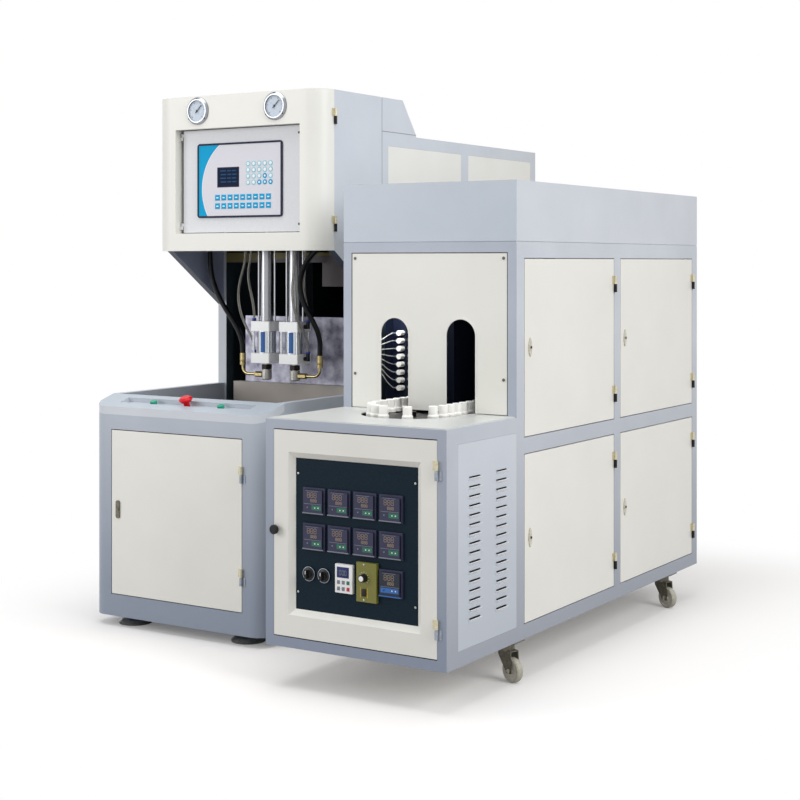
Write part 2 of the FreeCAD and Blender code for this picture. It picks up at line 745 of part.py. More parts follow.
def heater_door():
    door = pan_door(front_door_x, (0, door_depth + panel_sheet), front_door_z, "y")
    mouth_x = (window_x[0] - window_bevel, window_x[1] + window_bevel)
    mouth_z = (window_z[0] - window_bevel, window_z[1] + window_bevel)
    front = face(rectangle(mouth_x, -1, mouth_z))
    back = face(rectangle(window_x, panel_depth, window_z))
    hole = Part.makeLoft([front.OuterWire, back.OuterWire], True, True)
    frame_x = (mouth_x[0] - sheet, mouth_x[1] + sheet)
    frame_z = (mouth_z[0] - sheet, mouth_z[1] + sheet)
    frame = box(frame_x, (0, panel_depth), frame_z)
    through = box(window_x, (panel_depth - 1, door_depth + panel_sheet + 1), window_z)
    knob_hole = rod(knob_shaft_radius + running_gap, (knob_x, -1, knob_z), Y_AXIS, door_sheet + 2)
    door = fused([door, frame]).cut(hole).cut(through).cut(knob_hole)
    door_height = front_door_z[1] - front_door_z[0]
    return hinged(door, front_door_axis[0], front_door_axis[1], front_door_z[0], door_height,
                  (-1, 0), (0, -1))


def meter_places():
    """Lower left corners of the nine temperature meters: two rows of four and one below."""
    first = window_x[0] + meter_left
    row_z = [window_z[1] - meter_drop - meter_size, window_z[1] - meter_drop - meter_size - meter_pitch_z]
    places = [(first + i * meter_pitch_x, z) for z in row_z for i in range(4)]
    places.append((first + 3 * meter_pitch_x, row_z[1] - meter_gap_third))
    return places


knob_x = front_door_x[0] + knob_inset
knob_z = (front_door_z[0] + front_door_z[1]) / 2 + knob_lift
switch_places = [(window_x[0] + x, window_z[0] + switch_z) for x in switch_x]
speed_knob_x = window_x[0] + speed_at[0] + speed_size[0] / 2 - 8
speed_knob_place = (speed_knob_x, window_z[0] + speed_at[1] + speed_knob_z)


def control_panel():
    """The dark panel behind the door's window, with a hole for each instrument."""
    panel = box((window_x[0] - window_bevel, window_x[1] + window_bevel), panel_y,
                (window_z[0] - window_bevel, window_z[1] + window_bevel))
    inset = (meter_size - meter_body) / 2 - panel_gap
    for x, z in meter_places():
        panel = panel.cut(box((x + inset, x + meter_size - inset), (panel_y[0] - 1, panel_y[1] + 1),
                              (z + inset, z + meter_size - inset)))
    for x, z in switch_places:
        panel = panel.cut(rod(switch_shaft_radius + running_gap, (x, panel_y[0] - 1, z),
                              Y_AXIS, panel_sheet + 2))
    return panel


def panel_instruments():
    """Nine temperature meters, the inverter's keypad and the speed controller."""
    instruments = []
    inset = (meter_size - meter_body) / 2
    for x, z in meter_places():
        bezel = box((x, x + meter_size), (panel_y[0] - meter_rise, panel_y[0]), (z, z + meter_size))
        dial = box((x + 6, x + meter_size - 6), (panel_y[0] - meter_rise - 1, panel_y[0] - meter_rise + 2),
                   (z + 6, z + meter_size - 6))
        body = box((x + inset, x + meter_size - inset), (panel_y[0], panel_y[0] + meter_body_depth),
                   (z + inset, z + meter_size - inset))
        instruments.append(fused([bezel.cut(dial), body]))
    for size, at in ((inverter_size, inverter_at), (speed_size, speed_at)):
        x = window_x[0] + at[0]
        z = window_z[0] + at[1]
        instruments.append(box((x, x + size[0]), (panel_y[0] - drive_unit_rise, panel_y[0]),
                               (z, z + size[1])))
    shaft_start = (speed_knob_place[0], 0, speed_knob_place[1])
    shaft_hole = rod(switch_shaft_radius + running_gap, shaft_start, Y_AXIS, panel_y[0] - 2)
    return group(instruments[:-1] + [instruments[-1].cut(shaft_hole)])


def rotary_switch(place):
    """A round knob with a raised pointer, on a shaft through the panel."""
    face_y = panel_y[0] - seat_gap
    knob = turned([(0, 0), (switch_radius, 0), (switch_radius, 5), (switch_radius * 0.7, 7),
                   (switch_radius * 0.7, switch_rise * 0.6), (0, switch_rise * 0.6)],
                  (place[0], face_y, place[1]), Y_AXIS * -1)
    grip = box((place[0] - 4, place[0] + 4), (face_y - switch_rise, face_y - 6),
               (place[1] - switch_radius * 0.65, place[1] + switch_radius * 0.65))
    shaft = rod(switch_shaft_radius, (place[0], face_y - 3, place[1]), Y_AXIS, panel_sheet + 15)
    return fused([knob, grip, shaft])


def speed_knob():
    face_y = panel_y[0] - drive_unit_rise - seat_gap
    x, z = speed_knob_place
    knob = turned([(0, 0), (speed_knob_radius, 0), (speed_knob_radius * 0.85, speed_knob_rise),
                   (0, speed_knob_rise)], (x, face_y, z), Y_AXIS * -1)
    shaft = rod(switch_shaft_radius, (x, face_y - 2, z), Y_AXIS, drive_unit_rise - 1)
    return fused([knob, shaft])


def heater_door_knob():
    """The door's turning knob on its shaft."""
    reach = -door_sheet - 8
    return turned([(0, reach), (knob_shaft_radius, reach), (knob_shaft_radius, seat_gap),
                   (knob_neck_radius, seat_gap), (knob_neck_radius, 6), (knob_radius, 9),
                   (knob_radius, knob_rise - 3), (knob_radius - 3, knob_rise), (0, knob_rise)],
                  (knob_x, 0, knob_z), Y_AXIS * -1)


# ---- the preform conveyor and the oven ----------------------------------------------------------
straight_run = chain_back_y - chain_front_y
loop_length = 2 * straight_run + 2 * math.pi * chain_radius
link_count = round(loop_length / chain_pitch)
link_pitch = loop_length / link_count
link_z = (low_top - 8.0, low_top - 8.0 + link_thickness)
holder_z = table_top + 1.0
missing_holders = [int((2 * straight_run + math.radians(angle) * chain_radius) / link_pitch)
                   for angle in missing_holder_angles]


def loop_place(distance):
    """A place on the conveyor's loop, and the direction of travel there, as an angle in degrees."""
    half_turn = math.pi * chain_radius
    distance %= loop_length
    if distance < straight_run:
        return (run_right, chain_front_y + distance, 90.0)
    distance -= straight_run
    if distance < half_turn:
        angle = distance / chain_radius
        return (heater_mid + chain_radius * math.cos(angle), chain_back_y + chain_radius * math.sin(angle),
                90.0 + math.degrees(angle))
    distance -= half_turn
    if distance < straight_run:
        return (run_left, chain_back_y - distance, 270.0)
    angle = math.pi + (distance - straight_run) / chain_radius
    return (heater_mid + chain_radius * math.cos(angle), chain_front_y + chain_radius * math.sin(angle),
            90.0 + math.degrees(angle))


def on_loop(shape, index):
    x, y, angle = loop_place((index + chain_phase) * link_pitch)
    moved = shape.copy()
    moved.rotate(Vec(0, 0, 0), Z_AXIS, angle)
    moved.translate(Vec(x, y, 0))
    return moved


def link_outline(length, width):
    """A six-sided link plate, pointed at its two pins."""
    nose = width * 0.3
    half = length / 2
    return [(-half, -nose), (-half + nose, -width / 2), (half - nose, -width / 2), (half, -nose),
            (half, nose), (half - nose, width / 2), (-half + nose, width / 2), (-half, nose)]


def conveyor_chain():
    """Links laid round the loop on their bed, and the two sprockets on their shafts."""
    link = prism_z(link_outline(link_pitch - 2 * seat_gap - 1.0, link_width), link_z)
    links = [on_loop(link, i) for i in range(link_count)]
    radius = chain_radius - link_width / 2 - seat_gap - 1.5
    gear_z = (link_z[0] + seat_gap, link_z[1] - seat_gap)
    floor = heater_bottom + sheet
    gears = []
    for y in (chain_front_y, chain_back_y):
        teeth = round(2 * math.pi * chain_radius / link_pitch)
        outline = []
        for i in range(teeth):
            for part, reach in ((0.0, 0), (0.25, 0), (0.4, -9), (0.85, -9)):
                angle = 2 * math.pi * (i + part) / teeth
                outline.append((heater_mid + (radius + reach) * math.cos(angle),
                                y + (radius + reach) * math.sin(angle)))
        gears.append(prism_z(outline, gear_z))
        gears.append(rod(sprocket_shaft_radius, (heater_mid, y, floor), Z_AXIS, gear_z[0] - floor))
        gears.append(rod(sprocket_shaft_radius, (heater_mid, y, gear_z[1]), Z_AXIS, sprocket_hub_height))
    return group(links + gears + conveyor_bed(floor))


def conveyor_bed(floor):
    """Two straight rails, round ends in short pieces, and four legs."""
    bed_z = (link_z[0] - bed_thickness, link_z[0])
    bed = [box((x - link_width, x + link_width), (chain_front_y, chain_back_y), bed_z)
           for x in (run_left, run_right)]
    step = 180 / bed_parts
    for y, first in ((chain_back_y, 0), (chain_front_y, 180)):
        for i in range(bed_parts):
            outer = Part.makeCylinder(chain_radius + link_width, bed_thickness, Vec(0, 0, 0), Z_AXIS, step)
            part = outer.cut(rod(chain_radius - link_width, (0, 0, -1), Z_AXIS, bed_thickness + 2))
            part.rotate(Vec(0, 0, 0), Z_AXIS, first + i * step)
            part.translate(Vec(heater_mid, y, bed_z[0]))
            bed.append(part)
    legs_y = (chain_front_y + bed_leg, chain_back_y - bed_leg_inset)
    return bed + [box((x - bed_leg / 2, x + bed_leg / 2), (y, y + bed_leg), (floor, bed_z[0]))
                  for x in (run_left, run_right) for y in legs_y]


def preform_holders():
    """The mandrels that the preforms stand on, one on each link but for the two that are missing."""
    top = holder_z + holder_height
    holder = turned([(0, link_z[1]), (holder_foot_radius, link_z[1]), (holder_foot_radius, holder_z + 3),
                     (holder_top_radius, holder_z + holder_foot), (holder_top_radius, top - holder_chamfer),
                     (holder_top_radius - holder_chamfer, top), (0, top)])
    return group([on_loop(holder, i) for i in range(link_count) if i not in missing_holders])


lamp_runs = [(run_left - lamp_offset, run_left - reflector_offset, run_left + core_offset),
             (run_right + lamp_offset, run_right + reflector_offset, run_right - core_offset)]
oven_y = (lamp_front_y, lamp_front_y + lamp_length)


def oven_lamps():
    """Two banks of lamps beside the runs; each lamp's front end has a terminal, and a wire to the block."""
    lamps = []
    y_ends = (lamp_front_y, lamp_front_y + lamp_length - lamp_end_length)
    block_y = front_panel_y[1] + block_inset
    for lamp_x, reflector_x, core_x in lamp_runs:
        out = 1 if reflector_x > lamp_x else -1
        post_x = inner_x[1] if out > 0 else inner_x[0]
        for i in range(lamp_count):
            z = lamp_first_z + i * lamp_pitch
            front, back = [rod(lamp_end_radius, (lamp_x, y, z), Y_AXIS, lamp_end_length) for y in y_ends]
            terminal = rod(terminal_radius, (lamp_x, lamp_front_y + terminal_inset, z), X_AXIS * out,
                           lamp_end_radius + terminal_length)
            glass = rod(lamp_radius, (lamp_x, lamp_front_y + lamp_end_length, z), Y_AXIS,
                        lamp_length - 2 * lamp_end_length)
            lamps += [fused([front, terminal]), back, glass]
            end = (post_x - out * block_width, block_y + block_depth / 2,
                   wire_fan_first_z + i * wire_fan_pitch)
            lamps.append(lamp_wire(lamp_x, out, z, end))
        block_z = (wire_fan_first_z - wire_fan_pitch, wire_fan_first_z + lamp_count * wire_fan_pitch)
        lamps.append(box(sorted((post_x, post_x - out * block_width)), (block_y, block_y + block_depth),
                         block_z))
    return group(lamps)


def lamp_wire(lamp_x, out, z, end):
    """A wire from a lamp's terminal forward to the terminal block on the frame's post."""
    start = (lamp_x + out * (lamp_end_radius + terminal_length), lamp_front_y + terminal_inset, z)
    rise = end[2] - z
    points = [start, (start[0] + out * wire_lead, start[1], z)]
    points += [(start[0] + out * aside, start[1] - forward, z + part * rise)
               for aside, forward, part in wire_way]
    points += [(end[0] - out * wire_run_in, end[1], end[2]), end]
    return piped(rounded_route(points)[0], wire_radius, start, X_AXIS * out)


def oven_plates():
    """Dark plates behind the lamps, the lamps' brackets, and the hollow wall between the runs."""
    plates = []
    top = lamp_first_z + lamp_count * lamp_pitch + 30
    for lamp_x, reflector_x, core_x in lamp_runs:
        out = 1 if reflector_x > heater_mid else -1
        wall = sorted((reflector_x, reflector_x + out * oven_sheet))
        bracket_x = sorted((reflector_x, lamp_x - out * (lamp_end_radius + 6)))
        plates.append(box(wall, (oven_y[0] - 20, oven_y[1] + 20), (table_top, top)))
        for y in (oven_y[0] + lamp_end_length, oven_y[1] - lamp_end_length - oven_sheet):
            bracket = box(bracket_x, (y, y + oven_sheet), (table_top, top))
            for i in range(lamp_count):
                lamp_start = (lamp_x, y - 1, lamp_first_z + i * lamp_pitch)
                bracket = bracket.cut(rod(lamp_radius + seat_gap, lamp_start, Y_AXIS, oven_sheet + 2))
            plates.append(bracket)
    core_x = (lamp_runs[0][2], lamp_runs[1][2])
    core_y = (chain_front_y + chain_radius + slot_margin, chain_back_y - chain_radius)
    inside_x = (core_x[0] + oven_sheet, core_x[1] - oven_sheet)
    wall_z = (table_top, top - oven_sheet)
    plates.append(box(core_x, core_y, (wall_z[1], top)))
    plates += [box(x, core_y, wall_z) for x in ((core_x[0], inside_x[0]), (inside_x[1], core_x[1]))]
    plates += [box(inside_x, (y, y + oven_sheet), wall_z) for y in (core_y[0], core_y[1] - oven_sheet)]
    post_x = (heater_mid - core_post / 2, heater_mid + core_post / 2)
    plates += [box(post_x, (y, y + core_post), (heater_bottom + sheet, wall_z[1]))
               for y in (core_y[0] + core_post_inset, core_y[1] - core_post_inset - core_post)]
    return group(plates)


# ---- casters ------------------------------------------------------------------------------------
def caster_fork(x, y):
    """The swivelling head: a crown on the kingpin, two legs and the axle between them."""
    head_z = (caster_head_top - caster_head, caster_head_top)
    crown = rod(caster_race_radius, (0, 0, head_z[0]), Z_AXIS, caster_head)
    inside = caster_wheel_width / 2 + 1.5
    deck = box((-22, caster_trail + 8), (-inside - caster_leg, inside + caster_leg),
               (head_z[0], head_z[0] + caster_leg))
    outline = [(-22, head_z[0] + caster_leg), (-20, head_z[0] - 14),
               (caster_trail - 12, caster_wheel_radius - 9), (caster_trail + 10, caster_wheel_radius - 9),
               (caster_trail + 12, caster_wheel_radius + 9), (caster_trail + 8, head_z[0] + caster_leg)]
    legs = [prism_y(outline, side)
            for side in ((inside, inside + caster_leg), (-inside - caster_leg, -inside))]
    axle = rod(caster_axle_radius, (caster_trail, -inside - caster_leg - 5, caster_wheel_radius), Y_AXIS,
               2 * (inside + caster_leg + 5))
    nuts = [hexagon(9, (0, 5), (caster_trail, side, caster_wheel_radius), Y_AXIS)
            for side in (inside + caster_leg, -inside - caster_leg - 5)]
    fork = fused([crown, deck] + legs + [axle] + nuts)
    fork = fork.cut(rod(kingpin_radius + running_gap, (0, 0, head_z[0] - 1), Z_AXIS, caster_head + 2))
    fork.rotate(Vec(0, 0, 0), Z_AXIS, caster_turn)
    fork.translate(Vec(x, y, 0))
    return fork


def caster_wheel(x, y):
    half = caster_wheel_width / 2
    hub = half + 1.2
    outline = [(caster_axle_radius + running_gap, -hub), (11, -hub), (11, -half + 3),
               (27, -half + 3), (29, -half), (caster_wheel_radius - 3, -half),
               (caster_wheel_radius, -half + 4), (caster_wheel_radius, half - 4),
               (caster_wheel_radius - 3, half), (29, half), (27, half - 3), (11, half - 3), (11, hub),
               (caster_axle_radius + running_gap, hub)]
    wheel = turned(outline, (caster_trail, 0, caster_wheel_radius), Y_AXIS)
    wheel.rotate(Vec(0, 0, 0), Z_AXIS, caster_turn)
    wheel.translate(Vec(x, y, 0))
    return wheel


# ---- the blowing station's base -----------------------------------------------------------------
console_back = blow_front + console_run
base_door_x = (blow_mid - base_door_width / 2, blow_mid + base_door_width / 2)
base_door_z = (base_door_bottom, base_door_bottom + base_door_height)
base_door_axis = (base_door_x[1] + door_gap / 2, blow_front - hinge_out)
base_lock_place = (base_door_x[0] + lock_inset, blow_front, (base_door_z[0] + base_door_z[1]) / 2 + 10)
slope = math.atan2(base_top - console_front_z, console_run)


def console_z(y):
    """Height of the sloping console at a distance behind the base's front."""
    return console_front_z + (y - blow_front) * math.tan(slope)


def base_shell():
    """The base's folded shell: rounded front corners, side walls, floor, and an opening for the door."""
    height = (base_bottom, base_top)
    outer = bay((blow_left, blow_right), blow_front, column_y, height, base_corner)
    inner = bay((blow_left + base_wall, blow_right - base_wall), blow_front + base_wall, column_y + 1,
                (base_bottom + base_floor, base_top + 1), base_corner - base_wall)
    over = [(blow_front - 1, console_z(blow_front - 1) - console_thick),
            (console_back, base_top - console_thick), (console_back, base_top + 1),
            (blow_front - 1, base_top + 1)]
    opening = box((base_door_x[0] - door_gap, base_door_x[1] + door_gap),
                  (blow_front - 1, blow_front + base_wall + 1),
                  (base_door_z[0] - door_gap, base_door_z[1] + door_gap))
    shell = outer.cut(inner).cut(prism_x(over, (blow_left - 1, blow_right + 1))).cut(opening)
    return shell.removeSplitter()


tray_y = (blow_front + tray_from_front, blow_front + tray_from_front + tray_width)
tray_mid_y = (tray_y[0] + tray_y[1]) / 2
tray_floor = console_z(tray_mid_y) - tray_depth
button_normal = Vec(0, -math.sin(slope), math.cos(slope))
button_places = [(blow_mid - button_spacing, tray_mid_y, tray_floor),
                 (blow_mid + button_spacing, tray_mid_y, tray_floor)]
stop_place = (blow_mid, tray_mid_y, tray_floor)


def console():
    """The sloping top of the base, with the long tray that holds the push buttons."""
    profile = [(blow_front, console_front_z - console_thick), (console_back, base_top - console_thick),
               (console_back, base_top), (blow_front, console_front_z)]
    whole = bay((blow_left, blow_right), blow_front, console_back, (base_bottom, base_top + 1), base_corner)
    top = prism_x(profile, (blow_left, blow_right)).common(whole)
    tray = box((-tray_length / 2, tray_length / 2), (-tray_width / 2, tray_width / 2), (0, base_corner))
    top = top.cut(placed(tray, (blow_mid, tray_mid_y, tray_floor), button_normal))
    for place, radius in zip(button_places + [stop_place], (9.0, 9.0, stop_stem_radius)):
        top = top.cut(rod(radius + seat_gap, place, button_normal * -1, console_thick * 2))
    collars = []
    for place in button_places:
        collar = turned([(button_radius + seat_gap, 0), (button_collar_radius, 0), (button_collar_radius, 4),
                         (button_radius + seat_gap, 6)], place, button_normal)
        collars.append(collar)
    return group(top.Solids + collars)


def push_button(place):
    """A round push button on its plunger; it travels into the tray's floor."""
    low = button_travel + seat_gap
    return turned([(0, -16), (9.0, -16), (9.0, low), (button_radius, low),
                   (button_radius, button_height - 2), (button_radius - 2, button_height),
                   (0, button_height)], place, button_normal)


def emergency_stop():
    low = stop_travel + 18
    return turned([(0, -16), (stop_stem_radius, -16), (stop_stem_radius, low), (stop_radius * 0.75, low),
                   (stop_radius, low + 8), (stop_radius, stop_height - 6), (stop_radius - 7, stop_height),
                   (0, stop_height)], stop_place, button_normal)


def base_door():
    y = (blow_front, blow_front + door_depth)
    door = pan_door(base_door_x, y, base_door_z, "y")
    return hinged(door, base_door_axis[0], base_door_axis[1], base_door_bottom, base_door_height,
                  (-1, 0), (0, -1), base_hinge_inset)


def base_latch():
    """The base door's swing latch: a narrow plate that turns a quarter."""
    x, y, z = base_lock_place
    plate = box((x - lock_width / 2, x + lock_width / 2), (y - seat_gap - latch_rise, y - seat_gap),
                (z - lock_height / 2, z + lock_height / 2))
    upright = [edge for edge in plate.Edges if edge.BoundBox.YLength > latch_rise / 2]
    plate = plate.makeFillet(lock_width * 0.4, upright)
    barrel = rod(key_radius, (x, y - seat_gap - latch_rise - 3, z), Y_AXIS, latch_rise + 3)
    return fused([plate, barrel])


def levelling_feet():
    feet = []
    for x in (blow_mid - foot_spacing / 2, blow_mid + foot_spacing / 2):
        for y in (blow_front + foot_inset, blow_back - foot_inset):
            feet.append(turned([(0, 0), (foot_radius, 0), (foot_radius, 7), (foot_radius * 0.82, 15),
                                (foot_radius * 0.4, foot_height), (0, foot_height)], (x, y, 0)))
            feet.append(rod(foot_stud_radius, (x, y, foot_height), Z_AXIS, base_bottom - foot_height))
    return group(feet)


# ---- the rear cabinet ---------------------------------------------------------------------------
rear_sides = [(blow_left, blow_left + rear_tube), (blow_right - rear_tube, blow_right)]
rear_inner = (rear_sides[0][1], rear_sides[1][0])
rear_bay = (blow_back - column_y - 2 * rear_post - rear_middle_post) / 2
rear_openings_y = [(column_y + rear_post, column_y + rear_post + rear_bay),
                   (blow_back - rear_post - rear_bay, blow_back - rear_post)]
rear_openings_z = [(base_bottom + rear_bottom_rail, rear_middle_rail_z),
                   (rear_middle_rail_z + rear_tube, rear_top - rear_top_rail)]


def rear_frame():
    tubes = []
    post_y_ranges = [(column_y, column_y + rear_post), (rear_openings_y[0][1], rear_openings_y[1][0]),
                     (blow_back - rear_post, blow_back)]
    roof_z = rear_top - rear_roof
    for x in rear_sides:
        tubes += [box(x, y, (base_bottom, roof_z)) for y in post_y_ranges]
        for y in rear_openings_y:
            tubes.append(box(x, y, (base_bottom, base_bottom + rear_bottom_rail)))
            tubes.append(box(x, y, (rear_middle_rail_z, rear_middle_rail_z + rear_tube)))
            tubes.append(box(x, y, (rear_top - rear_top_rail, roof_z)))
    back_y = (blow_back - rear_tube, blow_back)
    for z in ((base_bottom, base_bottom + rear_bottom_rail),
              (rear_middle_rail_z, rear_middle_rail_z + rear_tube), (rear_top - rear_top_rail, roof_z)):
        tubes.append(box(rear_inner, back_y, z))
    roof_start = column_y + cap_depth + cap_slope
    tubes.append(box((blow_left, blow_right), (roof_start, blow_back), (roof_z, rear_top)))
    tubes.append(box(rear_inner, (column_y, blow_back - rear_tube), (base_bottom, base_bottom + sheet)))
    return group(tubes)


def rear_panels():
    """Fixed cream sheets of the rear cabinet: four on each side and two at the back."""
    panels = []
    g = panel_gap
    for x in ((blow_left, blow_left + sheet), (blow_right - sheet, blow_right)):
        for y in rear_openings_y:
            for z in rear_openings_z:
                panels.append(box(x, (y[0] + g, y[1] - g), (z[0] + g, z[1] - g)))
    for z in rear_openings_z:
        panels.append(box((rear_inner[0] + g, rear_inner[1] - g), (blow_back - sheet, blow_back),
                          (z[0] + g, z[1] - g)))
    return group(panels)


# ---- the head -----------------------------------------------------------------------------------
def head_side_plates():
    outline = [(seam_y, head_bottom), (seam_y, machine_top - sheet), (column_y, machine_top - sheet),
               (column_y, side_plate_low)]
    return group([prism_x(outline, (blow_left, blow_left + side_plate)),
                  prism_x(outline, (blow_right - side_plate, blow_right))])


def head_hood():
    """The roof over the head, folded down behind it onto the rear cabinet."""
    flat_end = column_y + cap_depth
    slope_end = flat_end + cap_slope
    x = (blow_left, blow_right)
    outline = [(column_y, rear_top), (column_y, machine_top), (flat_end, machine_top),
               (slope_end, rear_top + 8), (slope_end, rear_top)]
    hollow = [(column_y - 1, rear_top - 1), (column_y - 1, machine_top - sheet),
              (flat_end - sheet, machine_top - sheet), (slope_end - 2 * sheet, rear_top + 6),
              (slope_end - 2 * sheet, rear_top - 1)]
    hood = prism_x(outline, x).cut(prism_x(hollow, (x[0] + sheet, x[1] - sheet)))
    roof = box(x, (seam_y, column_y), (machine_top - sheet, machine_top))
    skirt_z = (rear_top - rear_roof, rear_top)
    skirt = box(x, (column_y, slope_end), skirt_z).cut(box((x[0] + rear_tube, x[1] - rear_tube),
                                                          (column_y - 1, slope_end - sheet), skirt_z))
    return fused([hood, roof, skirt])


recess_x = (blow_mid + recess_offset - recess_width / 2, blow_mid + recess_offset + recess_width / 2)
recess_z = (recess_bottom, recess_bottom + recess_height)
inner_axis = (recess_x[0] + inner_hinge_strip / 2, cover_y + inner_panel_set)
head_axis = (blow_right + hinge_out, seam_y - seat_gap)
gauge_places = [(blow_mid + recess_offset + side * gauge_spacing / 2, cover_y, gauge_z) for side in (-1, 1)]


def head_cover():
    """The head's front cover: a folded shell with rounded upright edges and a deep window."""
    x = (blow_left, blow_right)
    z = (head_bottom, machine_top)
    back = seam_y - seat_gap
    t = cover_sheet
    outer = bay(x, cover_y, back, z, cover_corner)
    inner = bay((x[0] + t, x[1] - t), cover_y + t, back + 1, (z[0] + t, z[1] - t), cover_corner - t)
    window = box(recess_x, (cover_y - 1, cover_y + recess_depth + 1), recess_z)
    collar = box((recess_x[0] - t, recess_x[1] + t), (cover_y, cover_y + recess_depth),
                 (recess_z[0] - t, recess_z[1] + t))
    cover = outer.cut(inner).fuse(collar).cut(window)
    for place in gauge_places:
        cover = cover.cut(rod(gauge_body_radius + seat_gap, (place[0], cover_y - 1, place[2]),
                              Y_AXIS, t + 2))
    knuckles = []
    for middle in inner_hinge_middles():
        low = (inner_axis[0], inner_axis[1], middle - inner_hinge_length / 2)
        half = inner_hinge_length / 2
        arm = box((recess_x[0] - t, inner_axis[0]), (inner_axis[1] - 1.5, inner_axis[1] + 1.5),
                  (low[2], low[2] + half - seat_gap))
        knuckles += [rod(inner_hinge_radius, low, Z_AXIS, half - seat_gap),
                     rod(inner_hinge_radius / 2, low, Z_AXIS, half * 1.7), arm]
    cover = cover.multiFuse(knuckles).removeSplitter()
    return hinged(cover, head_axis[0], head_axis[1], head_bottom, machine_top - head_bottom, (0, -1), (1, 0),
                  head_hinge_inset)


def inner_hinge_middles():
    return [recess_z[0] + 26, recess_z[1] - 26]


inner_panel_x = (recess_x[0] + inner_hinge_strip, recess_x[1] - door_gap)
inner_panel_z = (recess_z[0] + door_gap, recess_z[1] - door_gap)


def inner_panel():
    """The hinged instrument panel inside the window, a shallow pan with a knuckle at each hinge."""
    y = (inner_axis[1], inner_axis[1] + inner_panel_edge)
    panel = box(inner_panel_x, y, inner_panel_z)
    t = sheet
    panel = panel.cut(box((inner_panel_x[0] + t, inner_panel_x[1] - t), (y[0] + t, y[1] + 1),
                          (inner_panel_z[0] + t, inner_panel_z[1] - t)))
    half = inner_hinge_length / 2
    parts = [panel]
    for middle in inner_hinge_middles():
        start = (inner_axis[0], inner_axis[1], middle + seat_gap)
        arm = box((inner_axis[0], inner_panel_x[0] + t), (inner_axis[1], inner_axis[1] + t),
                  (middle + seat_gap, middle + half))
        knuckle = rod(inner_hinge_radius, start, Z_AXIS, half - seat_gap).fuse(arm)
        pin_hole = rod(inner_hinge_radius / 2 + running_gap, (start[0], start[1], middle), Z_AXIS, half)
        parts.append(knuckle.cut(pin_hole))
    return fused(parts)


keypad_x = (blow_mid - keypad_width / 2, blow_mid + keypad_width / 2)
keypad_z = (keypad_bottom, keypad_bottom + keypad_height)


def keypad():
    """The keypad unit: a raised rounded rim round a flat membrane, with a display window."""
    y = (inner_axis[1] - keypad_rise, inner_axis[1])
    plate = box(keypad_x, y, keypad_z)
    upright = [edge for edge in plate.Edges if edge.BoundBox.YLength > keypad_rise / 2]
    plate = plate.makeFillet(12.0, upright)
    r = keypad_rim
    field = box((keypad_x[0] + r, keypad_x[1] - r), (y[0] - 1, y[0] + 2), (keypad_z[0] + r, keypad_z[1] - r))
    screen_x = (keypad_x[0] + keypad_width * 0.25, keypad_x[0] + keypad_width * 0.49)
    screen_z = (keypad_z[0] + keypad_height * 0.42, keypad_z[0] + keypad_height * 0.66)
    screen = box(screen_x, (y[0] + 1, y[0] + 3), screen_z)
    rim = box((screen_x[0] - 4, screen_x[1] + 4), (y[0] + 1, y[0] + 3), (screen_z[0] - 4, screen_z[1] + 4))
    return fused([plate.cut(field), rim]).cut(screen)


def pressure_gauges():
    """Two round gauges with a flange on the cover, a body behind it, and a dial with its needle."""
    gauges = []
    for place in gauge_places:
        ring = turned([(gauge_radius * 0.78, 0), (gauge_radius, 0), (gauge_radius, 3),
                       (gauge_radius * 0.86, gauge_rise), (gauge_radius * 0.78, gauge_rise)],
                      place, Y_AXIS * -1)
        body = turned([(0, -gauge_body_depth), (gauge_body_radius, -gauge_body_depth),
                       (gauge_body_radius, 3), (0, 3)], place, Y_AXIS * -1)
        needle = box((-1.5, 1.5), (-10, 28), (3, 5))
        needle.rotate(Vec(0, 0, 0), Z_AXIS, 45)
        hub = rod(4, (0, 0, 3), Z_AXIS, 3)
        gauges.append(fused([ring, body, placed(fused([needle, hub]), place, Y_AXIS * -1)]))
    return group(gauges)


# ---- the clamp ----------------------------------------------------------------------------------
platen_x = (blow_mid - platen_width / 2, blow_mid + platen_width / 2)
platen_front_y = blow_front + front_platen_y
moving_y = platen_front_y + platen_thick + daylight
rear_platen_front = blow_front + rear_platen_y
bar_places = [(blow_mid + side * tie_bar_spacing / 2, z) for side in (-1, 1) for z in tie_bar_z]
guard_x = (blow_mid - guard_width / 2, blow_mid + guard_width / 2)
guard_y = (moving_y + platen_thick, moving_y + platen_thick + guard_sheet)
clamp_bottom = base_bottom + base_floor


def platen(y, z, hole_radius):
    """A steel plate with a hole for each tie bar."""
    plate = box(platen_x, (y, y + platen_thick), z)
    for x, bar_z in bar_places:
        plate = plate.cut(rod(hole_radius, (x, y - 1, bar_z), Y_AXIS, platen_thick + 2))
    return plate


def platen_legs(y, floor):
    """The two feet that a fixed platen stands on."""
    return [box((x, x + platen_leg), (y, y + platen_thick), (floor, platen_bottom))
            for x in (platen_x[0], platen_x[1] - platen_leg)]


def clamp_frame():
    """The fixed platens at the front and the rear, and the four tie bars between them."""
    front = platen(platen_front_y, (platen_bottom, front_platen_top), tie_bar_radius)
    rear = platen(rear_platen_front, (platen_bottom, front_platen_top), tie_bar_radius)
    rear = rear.cut(rod(clamp_rod_radius + seat_gap, (blow_mid, rear_platen_front - 1, clamp_z),
                        Y_AXIS, platen_thick + 2))
    length = rear_platen_front + platen_thick - platen_front_y
    bars = [rod(tie_bar_radius, (x, platen_front_y, z), Y_AXIS, length) for x, z in bar_places]
    legs = platen_legs(platen_front_y, clamp_bottom) + platen_legs(rear_platen_front, base_bottom + sheet)
    return group([front, rear] + legs + bars)


cylinder_front = rear_platen_front + platen_thick
clamp_bore_length = clamp_piston + clamp_travel + 2 * clamp_end_room


